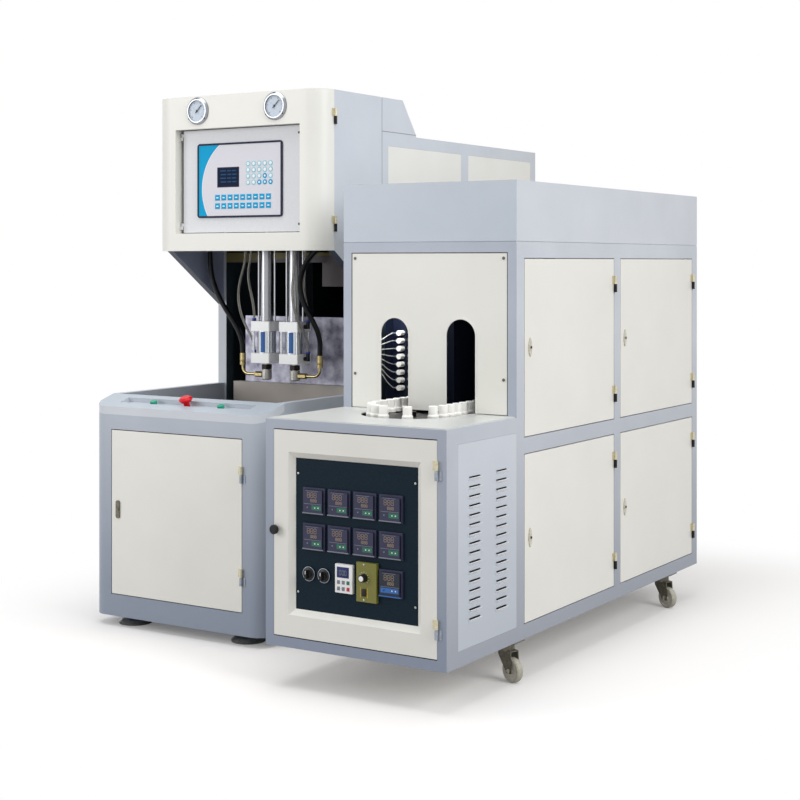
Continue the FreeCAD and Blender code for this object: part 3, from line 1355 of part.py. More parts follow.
def clamp_cylinder():
    """The clamp's cylinder, closed at the back, bolted to the rear platen."""
    outer = clamp_piston_radius + clamp_wall
    length = clamp_bore_length + 2 * clamp_wall
    body = rod(outer, (blow_mid, cylinder_front, clamp_z), Y_AXIS, length)
    bore = rod(clamp_piston_radius + running_gap, (blow_mid, cylinder_front + clamp_wall, clamp_z),
               Y_AXIS, clamp_bore_length)
    mouth = rod(clamp_rod_radius + running_gap, (blow_mid, cylinder_front - 1, clamp_z),
                Y_AXIS, clamp_wall + 2)
    reach = outer + clamp_flange
    flanges = [box((blow_mid - reach, blow_mid + reach), (y, y + clamp_wall),
                   (clamp_z - reach, clamp_z + reach))
               for y in (cylinder_front, cylinder_front + length - clamp_wall)]
    return fused([body] + flanges).cut(bore).cut(mouth)


def moving_platen():
    """The moving platen with the sheet that stands on its back, and the clamp's piston rod."""
    plate = platen(moving_y, (platen_bottom, moving_platen_top), tie_bar_radius + running_gap)
    guard = box(guard_x, guard_y, (guard_bottom, guard_top))
    back = moving_y + platen_thick
    piston_y = cylinder_front + clamp_wall + clamp_end_room
    rod_length = piston_y - back
    ram = turned([(0, 0), (clamp_rod_radius, 0), (clamp_rod_radius, rod_length),
                  (clamp_piston_radius, rod_length), (clamp_piston_radius, rod_length + clamp_piston),
                  (0, rod_length + clamp_piston)], (blow_mid, back, clamp_z), Y_AXIS)
    return group([plate, guard, ram])


# ---- the blowing unit -----------------------------------------------------------------------------
blow_x = (blow_mid - blow_pitch / 2, blow_mid + blow_pitch / 2)


def bored(shape, x, radius, z):
    return shape.cut(rod(radius, (x, nozzle_y, z[0] - 1), Z_AXIS, z[1] - z[0] + 2))


def rod_offsets():
    half = tie_rod_spacing / 2
    return [(dx, dy) for dx in (-half, half) for dy in (-half, half)]


def cylinder_caps():
    """The four square caps of the two seal cylinders."""
    caps = []
    half = cap_size / 2
    for x in blow_x:
        for z, radius in ((top_cap, stretch_rod_radius + stretch_rod_room),
                          (bottom_cap, nozzle_stem_radius + running_gap)):
            cap = box((x - half, x + half), (nozzle_y - half, nozzle_y + half), z)
            upright = [edge for edge in cap.Edges if edge.BoundBox.ZLength > 1]
            caps.append(bored(cap.makeFillet(4.0, upright), x, radius, z))
    return group(caps)


def cylinder_barrels():
    """The seal cylinders' barrels and tie rods, and the stretch cylinder above them."""
    pieces = []
    for x in blow_x:
        length = top_cap[0] - bottom_cap[1]
        pieces.append(tube(barrel_radius, barrel_bore, (x, nozzle_y, bottom_cap[1]), Z_AXIS, length))
        pieces += [rod(tie_rod_radius, (x + dx, nozzle_y + dy, bottom_cap[1]), Z_AXIS, length)
                   for dx, dy in rod_offsets()]
    low, high = stretch_cylinder_z
    body = rod(stretch_cylinder_radius, (blow_mid, nozzle_y, low), Z_AXIS, high - low)
    body = body.cut(rod(stretch_cylinder_bore, (blow_mid, nozzle_y, low + 12), Z_AXIS, high - low - 24))
    body = body.cut(rod(stretch_piston_rod + running_gap, (blow_mid, nozzle_y, low - 1), Z_AXIS, 20))
    arm = box((blow_left + side_plate, blow_right - side_plate), (nozzle_y - 20, nozzle_y + 20),
              (high, high + stretch_arm))
    return group(pieces + [body, arm])


def blow_columns():
    """The polished columns that carry the seal cylinders, and the thin guide rods beside them."""
    low = top_cap[1]
    height = mount_plate_z[0] - low
    pieces = []
    for x in blow_x:
        pieces.append(tube(column_radius, column_bore, (x, nozzle_y, low), Z_AXIS, height))
        for side in (-1, 1):
            pieces.append(rod(guide_rod_radius, (x + side * guide_rod_offset, nozzle_y, low), Z_AXIS, height))
    return group(pieces)


def head_beams():
    """The plate that the columns hang from, and the two beams across the column's face."""
    inside = (blow_left + side_plate, blow_right - side_plate)
    mount = box(inside, (nozzle_y - mount_plate_depth / 2, column_y), mount_plate_z)
    for x in blow_x:
        mount = bored(mount, x, stretch_rod_radius + stretch_rod_room, mount_plate_z)
    beam_x = (rear_inner[0], rear_inner[1])
    beam = box(beam_x, (column_y, column_y + beam_depth), beam_z)
    plate_y = (column_y + beam_depth, column_y + beam_depth + beam_plate_thick)
    plate = box((blow_mid + beam_plate_start, rear_inner[1]), plate_y,
                (beam_z[0] - beam_plate_drop, beam_z[1]))
    return group([mount, beam, plate])


def nozzle(index):
    """One blowing nozzle: stem, piston, locknut, tip, and the elbow that its hose plugs into."""
    x = blow_x[index]
    side = -1 if index == 0 else 1
    piston_low = piston_top_z - piston_thick
    piston_radius = barrel_bore - running_gap
    stem = turned([(nozzle_bore, nozzle_tip_z), (nozzle_radius - 3, nozzle_tip_z),
                   (nozzle_radius, nozzle_tip_z + 3), (nozzle_radius, nozzle_top_z),
                   (nozzle_stem_radius, nozzle_top_z), (nozzle_stem_radius, piston_low),
                   (piston_radius, piston_low), (piston_radius, piston_top_z),
                   (nozzle_bore, piston_top_z)], (x, nozzle_y, 0))
    nut = hexagon(nozzle_nut_radius, nozzle_nut_z, (x, nozzle_y, 0))
    nut = bored(nut, x, nozzle_stem_radius, nozzle_nut_z)
    hose_x = x + side * port_reach
    start = Vec(x + side * (nozzle_radius - 2), nozzle_y, port_z)
    turn_start = Vec(hose_x - side * port_bend, nozzle_y, port_z)
    turn_end = Vec(hose_x, nozzle_y, port_z + port_bend)
    part_way = port_bend * (1 - math.sqrt(0.5))
    middle = Vec(hose_x - side * part_way, nozzle_y, port_z + part_way)
    path = Part.Wire([Part.makeLine(start, turn_start), Part.Arc(turn_start, middle, turn_end).toShape(),
                      Part.makeLine(turn_end, Vec(hose_x, nozzle_y, ferrule_z[0] + 5))])
    pipe = path.makePipeShell([Part.Wire(Part.makeCircle(port_pipe_radius, start, X_AXIS))], True, True)
    union = hexagon(union_radius, (0, union_length), (x + side * nozzle_radius, nozzle_y, port_z),
                    X_AXIS * side)
    ferrule = turned([(0, ferrule_z[0]), (ferrule_radius, ferrule_z[0]), (ferrule_radius, ferrule_z[0] + 12),
                      (ferrule_radius - 1.5, ferrule_z[0] + 14), (ferrule_radius, ferrule_z[0] + 16),
                      (ferrule_radius, ferrule_z[1]), (0, ferrule_z[1])], (hose_x, nozzle_y, 0))
    inside_stem = rod(nozzle_radius, (x, nozzle_y, nozzle_tip_z), Z_AXIS, nozzle_top_z - nozzle_tip_z)
    elbow = fused([pipe, union, ferrule]).cut(inside_stem)
    return group([stem, nut, elbow])


def stretch_rods():
    """The two stretch rods on their crosshead, with the piston rod that drives them."""
    wide, deep = crosshead_size
    crosshead = box((blow_mid - wide / 2, blow_mid + wide / 2),
                    (nozzle_y - deep / 2, nozzle_y + deep / 2), crosshead_z)
    pieces = [crosshead]
    rod_length = crosshead_z[0] + 2 - stretch_rod_tip_z
    for x in blow_x:
        pieces.append(rod(stretch_rod_radius, (x, nozzle_y, stretch_rod_tip_z), Z_AXIS, rod_length))
    top = stretch_cylinder_z[1] - 16
    pieces.append(rod(stretch_piston_rod, (blow_mid, nozzle_y, crosshead_z[1] - 2), Z_AXIS,
                      top - crosshead_z[1]))
    pieces.append(rod(stretch_cylinder_bore - running_gap, (blow_mid, nozzle_y, top - 18), Z_AXIS, 16))
    return fused(pieces)


fitting_heights = [(cap[0] + cap[1]) / 2 for cap in (bottom_cap, top_cap)]
fitting_spots = [(x, side, z) for x, side in zip(blow_x, (-1, 1)) for z in fitting_heights]


def fitting_top(spot):
    """Where the air tube leaves a push-in fitting."""
    x, side, z = spot
    return (x + side * (cap_size / 2 + fitting_length - fitting_radius), nozzle_y, z + fitting_length)


def tube_fittings():
    """Push-in elbows on the caps of the seal cylinders."""
    fittings = []
    for spot in fitting_spots:
        x, side, z = spot
        top = fitting_top(spot)
        level = rod(fitting_radius, (x + side * cap_size / 2, nozzle_y, z), X_AXIS * side,
                    fitting_length - fitting_radius)
        upright = rod(fitting_radius, (top[0], nozzle_y, z - fitting_radius), Z_AXIS,
                      fitting_length + fitting_radius)
        fittings.append(fused([level, upright]))
    return group(fittings)


# ---- hoses ----------------------------------------------------------------------------------------
hose_end_z = mount_plate_z[0]


def steps_from(start, route):
    return [(start[0] + x, start[1] + y, start[2] + z) for x, y, z in route]


def up_to_plate(points):
    """A route that ends at the head's plate, straight above its last point."""
    return points + [(points[-1][0], points[-1][1], hose_end_z)]


def black_hose_left():
    start = (blow_x[0] - port_reach, nozzle_y, ferrule_z[1])
    return bent_tube("black_hose_left", hose_radius, up_to_plate(steps_from(start, black_route_left)))


def black_hose_right():
    """The right hose passes in front of the head's plate and ends at the head's right side."""
    start = (blow_x[1] + port_reach, nozzle_y, ferrule_z[1])
    points = steps_from(start, black_route_right)
    points.append((blow_right - side_plate, points[-1][1], points[-1][2]))
    return bent_tube("black_hose_right", hose_radius, points)


def clear_tubes():
    """Four air tubes, from the push-in fittings up to the head's plate."""
    routes = [("left_low", clear_route_left_low), ("left_high", clear_route_left_high),
              ("right_low", clear_route_right_low), ("right_high", clear_route_right_high)]
    tubes = []
    for (name, route), spot in zip(routes, fitting_spots):
        points = up_to_plate(steps_from(fitting_top(spot), route))
        tubes.append(bent_tube("clear_tube_" + name, air_tube_radius, points))
    return group(tubes)


# ---- all pieces -------------------------------------------------------------------------------------
def all_pieces():
    pieces = {
        "base_shell": base_shell(),
        "console": console(),
        "start_button_left": push_button(button_places[0]),
        "start_button_right": push_button(button_places[1]),
        "emergency_stop": emergency_stop(),
        "base_door": base_door(),
        "base_latch": base_latch(),
        "levelling_feet": levelling_feet(),
        "rear_frame": rear_frame(),
        "rear_panels": rear_panels(),
        "head_side_plates": head_side_plates(),
        "head_hood": head_hood(),
        "head_cover": head_cover(),
        "inner_panel": inner_panel(),
        "keypad": keypad(),
        "pressure_gauges": pressure_gauges(),
        "head_beams": head_beams(),
        "blow_columns": blow_columns(),
        "cylinder_caps": cylinder_caps(),
        "cylinder_barrels": cylinder_barrels(),
        "tube_fittings": tube_fittings(),
        "nozzle_left": nozzle(0),
        "nozzle_right": nozzle(1),
        "stretch_rods": stretch_rods(),
        "black_hose_left": black_hose_left(),
        "black_hose_right": black_hose_right(),
        "clear_tubes": clear_tubes(),
        "clamp_frame": clamp_frame(),
        "clamp_cylinder": clamp_cylinder(),
        "moving_platen": moving_platen(),
        "heater_frame": heater_frame(),
        "heater_hood": heater_hood(),
        "heater_front_panel": heater_front_panel(),
        "heater_table": heater_table(),
        "heater_panels": heater_panels(),
        "louvre_panel": louvre_panel(),
        "heater_door": heater_door(),
        "heater_door_knob": heater_door_knob(),
        "control_panel": control_panel(),
        "panel_instruments": panel_instruments(),
        "speed_knob": speed_knob(),
        "switch_left": rotary_switch(switch_places[0]),
        "switch_right": rotary_switch(switch_places[1]),
        "conveyor_chain": conveyor_chain(),
        "preform_holders": preform_holders(),
        "oven_lamps": oven_lamps(),
        "oven_plates": oven_plates(),
    }
    for row, height in enumerate(("lower", "upper")):
        for column, place in enumerate(("front", "rear")):
            pieces["side_door_" + height + "_" + place] = side_door(column, row)
    for (x, y), place in zip(caster_places(), ("left_front", "left_rear", "right_front", "right_rear")):
        pieces["caster_fork_" + place] = caster_fork(x, y)
        pieces["caster_wheel_" + place] = caster_wheel(x, y)
    pieces["door_hinges"] = group(frame_hinge_halves)
    return pieces


pieces = all_pieces()
whole_box = Part.makeCompound(list(pieces.values())).optimalBoundingBox(True)
to_origin = Vec(-whole_box.Center.x, -whole_box.Center.y, -whole_box.ZMin)
os.makedirs("parts", exist_ok=True)
for name, shape in pieces.items():
    shape.translate(to_origin)
    shape.exportStep("parts/" + name + ".step")
print(len(pieces), "nodes, box",
      [round(v, 1) for v in (whole_box.XLength, whole_box.YLength, whole_box.ZLength)])
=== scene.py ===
# %% [markdown]
# # A bottle blow moulding machine
# The machine has two stations. On the left stands the blowing station: a clamp in a folded steel base,
# two seal cylinders under a control head, and a cabinet behind. On the right stands the preform heater,
# an oven on casters that a chain of preform holders runs through. The steelwork is loaded as it is.
# This lesson gives each sheet, tube and casting its finish, and adds what is too thin or too fine for
# the steelwork: printed faces, keys, dials, displays, screws and hoses.

# %% Load the steelwork
import math

import bpy
from mathutils import Matrix, Vector


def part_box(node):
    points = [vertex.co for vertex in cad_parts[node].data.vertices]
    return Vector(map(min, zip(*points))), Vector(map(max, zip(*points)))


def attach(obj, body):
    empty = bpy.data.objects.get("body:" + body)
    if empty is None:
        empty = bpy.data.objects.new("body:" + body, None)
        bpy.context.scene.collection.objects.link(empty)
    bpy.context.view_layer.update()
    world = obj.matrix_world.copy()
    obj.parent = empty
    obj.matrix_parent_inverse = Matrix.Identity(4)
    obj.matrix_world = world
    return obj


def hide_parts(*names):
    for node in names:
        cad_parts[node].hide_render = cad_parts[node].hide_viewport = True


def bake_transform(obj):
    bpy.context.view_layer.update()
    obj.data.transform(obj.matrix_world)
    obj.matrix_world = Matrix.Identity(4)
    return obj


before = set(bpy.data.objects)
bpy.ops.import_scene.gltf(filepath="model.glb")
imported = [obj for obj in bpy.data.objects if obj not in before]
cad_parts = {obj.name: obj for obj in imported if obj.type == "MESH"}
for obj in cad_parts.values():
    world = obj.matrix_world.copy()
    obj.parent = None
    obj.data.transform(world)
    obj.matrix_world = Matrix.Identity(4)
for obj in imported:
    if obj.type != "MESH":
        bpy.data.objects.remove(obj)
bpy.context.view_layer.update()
MM = 0.001
bpy.ops.object.select_all(action="DESELECT")

# %% [markdown]
# ## Camera
# The machine was photographed from its right front corner, with the camera level at chest height and a
# long lens, so that upright edges stay upright. The lens is shifted down to keep the feet in view, as
# a product photographer does with a view camera. Tilting the camera would make the uprights converge.

# %% Camera
CAMERA_PLACE = (3.0734, -4.9494, 1.2947)
CAMERA_TURN = 32.23
CAMERA_TILT = -0.11
LENS_MM = 70.13
LENS_SHIFT = -0.169

bpy.ops.object.camera_add(
    location=CAMERA_PLACE,
    rotation=(math.radians(90 + CAMERA_TILT), 0, math.radians(CAMERA_TURN)),
)
camera = bpy.context.object
camera.name = "camera"
camera.data.lens = LENS_MM
camera.data.sensor_width = 36
camera.data.shift_y = LENS_SHIFT
camera.data.clip_end = 60
bpy.context.scene.camera = camera
print("camera at", tuple(round(v, 2) for v in camera.location))

# %% [markdown]
# ## Node helpers
# Every finish is a Principled shader whose colour, roughness and bump come from a few pattern nodes. One
# helper adds any node with its settings and links, and one turns a paint chart's sRGB hex value into the
# linear values that the shader works in. The rest build what many finishes share, so that a finish itself
# is one line: its name, its tones, its roughness and the real size of its grain.

# %% Node helpers
def srgb(hex_colour):
    channels = [int(hex_colour[i:i + 2], 16) / 255 for i in (1, 3, 5)]
    linear = [c / 12.92 if c <= 0.04045 else ((c + 0.055) / 1.055) ** 2.4 for c in channels]
    return (*linear, 1.0)


def add(tree, kind, settings=None, links=None):
    """Adds one shader node, sets its sockets or options, and links outputs into its inputs."""
    node = tree.nodes.new("ShaderNode" + kind)
    for key, value in (settings or {}).items():
        if isinstance(key, int) or key in node.inputs:
            node.inputs[key].default_value = value
        else:
            setattr(node, key, value)
    for key, output in (links or {}).items():
        tree.links.new(output, node.inputs[key])
    return node


def new_material(name, colour, roughness, **settings):
    """A material with its shader, and the object coordinates that its patterns read."""
    material = bpy.data.materials.new(name)
    material.use_nodes = True
    tree = material.node_tree
    shader = tree.nodes["Principled BSDF"]
    shader.inputs["Base Color"].default_value = srgb(colour)
    shader.inputs["Roughness"].default_value = roughness
    for key, value in settings.items():
        shader.inputs[key.replace("_", " ")].default_value = value
    place = add(tree, "TexCoord").outputs["Object"]
    return material, tree, shader, place


def patterned(tree, shader, tint, tones, dents, height_mm, gloss=None):
    """Colours the shader by one pattern, from a dark tone to a light one, and raises it by another.

    A gloss is the range of roughness, where that follows the first pattern too.
    """
    ramp = add(tree, "ValToRGB", links={"Fac": tint})
    for element, position, tone in zip(ramp.color_ramp.elements, (0.3, 0.7), tones):
        element.position = position
        element.color = srgb(tone)
    tree.links.new(ramp.outputs["Color"], shader.inputs["Base Color"])
    bump = add(tree, "Bump", {"Strength": 0.6, "Distance": height_mm * MM}, {"Height": dents})
    tree.links.new(bump.outputs["Normal"], shader.inputs["Normal"])
    if gloss:
        share = add(tree, "MapRange", {"To Min": gloss[0], "To Max": gloss[1]}, {"Value": tint})
        tree.links.new(share.outputs["Result"], shader.inputs["Roughness"])


def grained(name, colour, dark, roughness, grain_mm=0.8, detail=2.0, height_mm=0.03, **settings):
    """A finish that goes from one tone to another, and up and down, over grains of a real size."""
    material, tree, shader, place = new_material(name, colour, roughness, **settings)
    noise = add(tree, "TexNoise", {"Scale": 1 / (grain_mm * MM), "Detail": detail}, {"Vector": place})
    grain = noise.outputs["Fac"]
    patterned(tree, shader, grain, (dark, colour), grain, height_mm)
    return material


def shown_to_camera(tree):
    """1 for rays that show a thing to the camera, straight or through glass or a mirror, and 0 for light."""
    paths = add(tree, "LightPath")
    shown = paths.outputs["Is Camera Ray"]
    for ray in ("Is Glossy Ray", "Is Transmission Ray"):
        shown = add(tree, "Math", {"operation": "MAXIMUM"}, {0: shown, 1: paths.outputs[ray]}).outputs[0]
    return shown


print("white is", [round(v, 2) for v in srgb("#FFFFFF")])

# %% [markdown]
# ## Light
# Pale powder coat shows its form by small changes of tone, so the light is soft: a wide softbox to the
# right, which makes the long side the brightest, one in front that stands nearer to the blowing station,
# one above, and a grey room all round. A small work light behind the front panel, above the arches,
# brings out the lamps' white ends and their wires. The background is white to the camera alone, also
# where glass or polished metal shows it, so it adds no light of its own.

# %% Softboxes
AIM = Vector((0, -0.2, 0.8))


def softbox(name, place, size, watts):
    bpy.ops.object.light_add(type="AREA", location=place)
    lamp = bpy.context.object
    lamp.name = name
    lamp.data.shape = "SQUARE"
    lamp.data.size = size
    lamp.data.energy = watts
    lamp.rotation_euler = (AIM - Vector(place)).to_track_quat("-Z", "Y").to_euler()


softbox("softbox_right", (5.2, -1.6, 3.3), 3.0, 152)
softbox("softbox_front", (-3.4, -4.6, 2.3), 3.0, 102)
softbox("softbox_top", (-0.1, -0.8, 5.0), 3.5, 104)
print("three softboxes")

# %% Work light in the oven
WORK_LIGHT_SIZE = (160 * MM, 20 * MM)
WORK_LIGHT_Z = 1210 * MM
WORK_LIGHT_TILT = 50
WORK_LIGHT_WATTS = 1.6
BEHIND_PANEL = 25 * MM
oven_low, oven_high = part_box("oven_lamps")
work_light_place = ((oven_low.x * 3 + oven_high.x) / 4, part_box("heater_front_panel")[1].y + BEHIND_PANEL,
                    WORK_LIGHT_Z)
bpy.ops.object.light_add(
    type="AREA", location=work_light_place, rotation=(math.radians(WORK_LIGHT_TILT), 0, 0))
oven_light = bpy.context.object
oven_light.name = "work_light_in_the_oven"
oven_light.data.shape = "RECTANGLE"
oven_light.data.size, oven_light.data.size_y = WORK_LIGHT_SIZE
oven_light.data.energy = WORK_LIGHT_WATTS
print("work light at", [round(v, 2) for v in work_light_place])

# %% Room
world = bpy.data.worlds.new("white_room")
bpy.context.scene.world = world
world.use_nodes = True
sky = world.node_tree
sky.nodes.clear()
room = add(sky, "Background", {"Color": (0.96, 0.98, 1.0, 1), "Strength": 0.5})
white = add(sky, "Background", {"Color": (1, 1, 1, 1)})
mixed = add(sky, "MixShader", None,
            {"Fac": shown_to_camera(sky), 1: room.outputs["Background"], 2: white.outputs["Background"]})
add(sky, "OutputWorld", None, {"Surface": mixed.outputs["Shader"]})
bpy.context.scene.view_settings.view_transform = "Standard"
print("a grey room that looks white")

# %% [markdown]
# ## Powder coat
# The sheets and tubes are powder coated: dry paint, baked until it flows into a skin. The skin dries with
# a slight orange peel, about a millimetre and a half from crest to crest, and a satin gloss that varies
# a little over a sheet. Doors and covers are a warm cream. Frames are cool greys that differ a little from
# sheet to sheet. Some coats darken towards the floor: that is painted shade, the shade low on the machine.
# Other painted shade goes on as darker copies of a coat, and painted highlight as paler ones. Enamel, and
# the matt dark tones that paint the shade inside the machine and in its gaps, lie on the sheet as such a
# skin too, so they share the function.

# %% Powder coat
PEEL_MM = 1.5
CLOUD_MM = 260
# Painted shade: a coat darkens towards the floor between these heights.
PAINTED_SHADE_FROM = 150 * MM
PAINTED_SHADE_TO = 1000 * MM


def skin_coat(name, colour, dark, roughness=0.42, painted_floor_shade=None):
    """A coat of one tone, darkened near the floor by painted shade, painted_floor_shade, up to a metre."""
    material, tree, shader, place = new_material(
        name, colour, roughness, Coat_Weight=0.12, Coat_Roughness=0.25)
    peel = add(tree, "TexNoise", {"Scale": 1 / (PEEL_MM * MM), "Detail": 1.0}, {"Vector": place})
    cloud = add(tree, "TexNoise", {"Scale": 1 / (CLOUD_MM * MM), "Detail": 3.0}, {"Vector": place})
    patterned(tree, shader, cloud.outputs["Fac"], (dark, colour), peel.outputs["Fac"], 0.05,
              gloss=(roughness - 0.05, roughness + 0.07))
    # Painted shade: the colour mixes towards the darker tone near the floor.
    if painted_floor_shade:
        height = add(tree, "SeparateXYZ", links={"Vector": place})
        share = add(tree, "MapRange", {"From Min": PAINTED_SHADE_FROM, "From Max": PAINTED_SHADE_TO},
                    {"Value": height.outputs["Z"]})
        clean = shader.inputs["Base Color"].links[0].from_socket
        tone = add(tree, "MixRGB", {"Color1": srgb(painted_floor_shade)}, {"Fac": share.outputs["Result"], "Color2": clean})
        tree.links.new(tone.outputs["Color"], shader.inputs["Base Color"])
    return material


# Doors and covers: a warm cream that comes close to white towards the right softbox.
cream_coat = skin_coat("cream_powder_coat", "#EAE9E3", "#E5E4DD")
# The louvred side: cool and a touch paler than the hood as painted light, with painted shade that greys it
# towards the floor.
louvre_coat = skin_coat("louvre_powder_coat", "#D1D6DE", "#CACFD8", painted_floor_shade="#B6BDC7")
# The louvres' pressed lips: a painted highlight, a paler copy of the louvred side's coat.
lip_highlight_coat = skin_coat("lip_painted_highlight", "#E6E9EE", "#DDE1E7")
# The hood's front: painted shade, a darker copy of the grey on the faces that look forward.
hood_front_shade_coat = skin_coat("hood_front_painted_shade", "#C1C9D3", "#B9C2CD")
# The console's sloping top: painted shade, a darker copy of the grey.
console_top_shade_coat = skin_coat("console_top_painted_shade", "#B5BDC6", "#ACB5BE")
# Hoods, head and cabinet posts: a neutral light grey.
grey_coat = skin_coat("grey_powder_coat", "#CDD2D9", "#C5CAD2")
# The folded base: bluish, with painted shade that makes it much darker at the floor.
base_coat = skin_coat("base_powder_coat", "#C1C7D0", "#B8BFC9", painted_floor_shade="#8A94A5")
# The heater's square tubes: light grey, with painted shade that darkens them towards the casters.
tube_coat = skin_coat("tube_powder_coat", "#C9CED6", "#BEC4CD", painted_floor_shade="#969CA8")
# The tubes' front walls: painted shade, a darker copy of the grey with more slate in it.
tube_front_shade_coat = skin_coat("tube_front_painted_shade", "#B4BBC8", "#A9B1BF", painted_floor_shade="#8690A3")
# The inner faces of the head's side plates: painted shade, a smoother, darker bluish copy of the grey.
head_inner_shade_coat = skin_coat("head_inner_painted_shade", "#A9B2CC", "#98A1BB", 0.35)
# The lower edges of those plates, which look down: painted shade, a dark line under the head.
head_edge_shade_coat = skin_coat("head_edge_painted_shade", "#434C5E", "#373F4F", 0.5)
# The heater's table: a warmer grey, even and wiped.
table_coat = skin_coat("table_powder_coat", "#CFD0CD", "#C8CAC7")
# The clamp's platens: brushed enamel, brownish and rather dull.
platen_coat = skin_coat("platen_enamel", "#C0B8B1", "#A9A19A", 0.5)
# The beam behind the columns: olive enamel that reads as a dark yellow band.
beam_coat = skin_coat("olive_enamel", "#8A8046", "#6E6738", 0.5)
# The small plate beside it: a dusty mauve.
mauve_coat = skin_coat("mauve_enamel", "#6E666A", "#585255", 0.5)
# Faces that look inwards: painted shade, a matt dark tone for the shade inside the machine.
inward_shade_coat = skin_coat("inward_painted_shade", "#3C4C55", "#2B383F", 0.6)
# Door edges, the frame's walls beside the front door and the strip round the front panel: painted shade,
# a matt black that draws the gaps as a fine dark outline.
gap_shade_coat = skin_coat("gap_painted_shade", "#2A2C30", "#1E2023", 0.7)
print(len(bpy.data.materials), "materials so far")

# %% [markdown]
# ## Bare and plated metal
# Turned and drawn metal carries fine lines along the way that the tool went. Brushed sheet is the same.
# The lines are far too fine for the picture, so they are drawn some ten times as coarse. On the hard chrome
# of the columns they are faint. Brass and zinc plate differ in tint, and zinc also has a blotchy, slightly
# yellow bloom. The tooth of blasted metal is too fine as well, and is drawn as specks of two or three
# millimetres. Metal that is blasted, dull or yellowed shows no clear reflection, so it is only partly
# metallic.

# %% Metals
LINE_MM = 1.2
LINE_STRETCH = 60


def brushed(name, colour, dark, roughness, along):
    """Metal with fine lines along one axis of the machine."""
    material, tree, shader, place = new_material(name, colour, roughness, Metallic=1.0)
    fine = 1 / (LINE_MM * MM)
    scale = [fine / LINE_STRETCH if axis == along else fine for axis in "XYZ"]
    turned = add(tree, "Mapping", {"Scale": scale}, {"Vector": place})
    noise = add(tree, "TexNoise", {"Scale": 1.0, "Detail": 2.0}, {"Vector": turned.outputs[0]})
    lines = noise.outputs["Fac"]
    patterned(tree, shader, lines, (dark, colour), lines, 0.02, gloss=(roughness - 0.06, roughness + 0.1))
    return material


def cast_or_plated(name, colour, dark, roughness, patch_mm=9, metal=1.0):
    """Metal with soft blotches, as plating and castings have."""
    return grained(name, colour, dark, roughness, patch_mm, 4.0, 0.04, Metallic=metal)


# Columns: hard chrome, a grey mirror of the room.
hard_chrome = brushed("hard_chrome", "#A9AAAF", "#999A9E", 0.2, along="Z")
# The gauges' rings: bright plating, a soft mirror with streaks.
gauge_chrome = brushed("plated_gauge_ring", "#A3A6AB", "#8D9095", 0.22, along="X")
# Nozzles and rods: turned steel, warm grey with rings of light.
turned_steel = brushed("turned_steel", "#BFBDB8", "#9C9A96", 0.28, along="X")
# The cylinders' barrels: drawn aluminium with sharp upright streaks.
barrel_aluminium = brushed("drawn_aluminium", "#D3D6D8", "#B9BDC1", 0.25, along="Z")
# The inner panel: satin anodised sheet, matt and almost white.
satin_aluminium = cast_or_plated("satin_aluminium_sheet", "#E0E1E4", "#C5C8CC", 0.55, 2.2, 0.1)
# The cylinders' caps: blasted aluminium, matt white with a fine tooth.
cap_aluminium = cast_or_plated("blasted_aluminium", "#FCFCFC", "#F5F6F6", 0.45, 3, 0.15)
# The clamp's upright sheet: galvanised, with large violet spangles.
galvanised = cast_or_plated("galvanised_sheet", "#D5D5E4", "#77758C", 0.42, 38, 0.35)
# Elbows and ferrules: yellow brass, dulled by handling.
yellow_brass = cast_or_plated("yellow_brass", "#C2B283", "#96865A", 0.3, 5)
# Locknuts, locks and some screws: oiled black oxide.
black_oxide = cast_or_plated("black_oxide_steel", "#3A3836", "#211F1E", 0.4, 5)
# Feet's studs, axles and panel screws: zinc plate, light grey.
zinc_plate = cast_or_plated("zinc_plate", "#BFC1BE", "#A3A49C", 0.36, 8)
# Caster forks and the base door's latch: old zinc that has gone brownish.
dull_zinc = cast_or_plated("dull_zinc_plate", "#787467", "#5A574C", 0.45, 8, 0.6)
# Lower hinge halves, lamp terminals and switch rings: zinc with a bluish passivation.
blue_zinc = cast_or_plated("blue_zinc_plate", "#A9B0BA", "#8A919C", 0.4, 8, 0.6)
# Latches on the side doors: nickel plate, warm and bright.
bright_latch = cast_or_plated("nickel_plated_latch", "#D9D6CB", "#B3AE9C", 0.3, 6, 0.5)
# Upper hinge halves: a pale yellow plating.
pale_brass = cast_or_plated("pale_brass_plate", "#DBD4B9", "#C4BC9E", 0.4, 6, 0.3)
# The conveyor's chain: oiled steel, almost black.
chain_steel = cast_or_plated("oiled_chain_steel", "#2E2B2A", "#171615", 0.35, 5)
print(len(bpy.data.materials), "materials so far")

# %% [markdown]
# ## Plastics, rubber, ceramic and glass
# Moulded plastics have a spark-eroded grain of about a tenth of a millimetre, which is too fine for the
# picture and is drawn at 0.8 mm. Rubber hose has a dull sheen with a cloth imprint, and lamp ends are white
# steatite. The air tubes are clear polyurethane, which looks pale grey with a bright rim. Screen inks and
# unlit displays are flat and matt, so a low specular keeps their dark tones deep.

# %% Moulded plastics and rubber
# Knobs, fittings and the rocker: black ABS with a soft shine.
black_abs = grained("black_abs", "#141517", "#0C0D0E", 0.4, Specular_IOR_Level=0.3)
# Meter cases: dark ABS that leans to violet.
meter_abs = grained("dark_meter_abs", "#3A3B55", "#303148", 0.45, Specular_IOR_Level=0.25)
# The ninth meter's face, of another make: slate.
ninth_abs = grained("slate_meter_abs", "#28303D", "#202731", 0.45, Specular_IOR_Level=0.25)
# The keypad's rim: deep navy.
navy_rim = grained("navy_rim_abs", "#1C2040", "#151832", 0.45, Specular_IOR_Level=0.15)
# Start buttons: glossy sea green.
button_green = grained("green_button", "#1FA284", "#179073", 0.3)
# The emergency stop: signal red with a soft shine.
stop_red = grained("red_stop_button", "#DE0A1C", "#C90818", 0.32, Specular_IOR_Level=0.3)
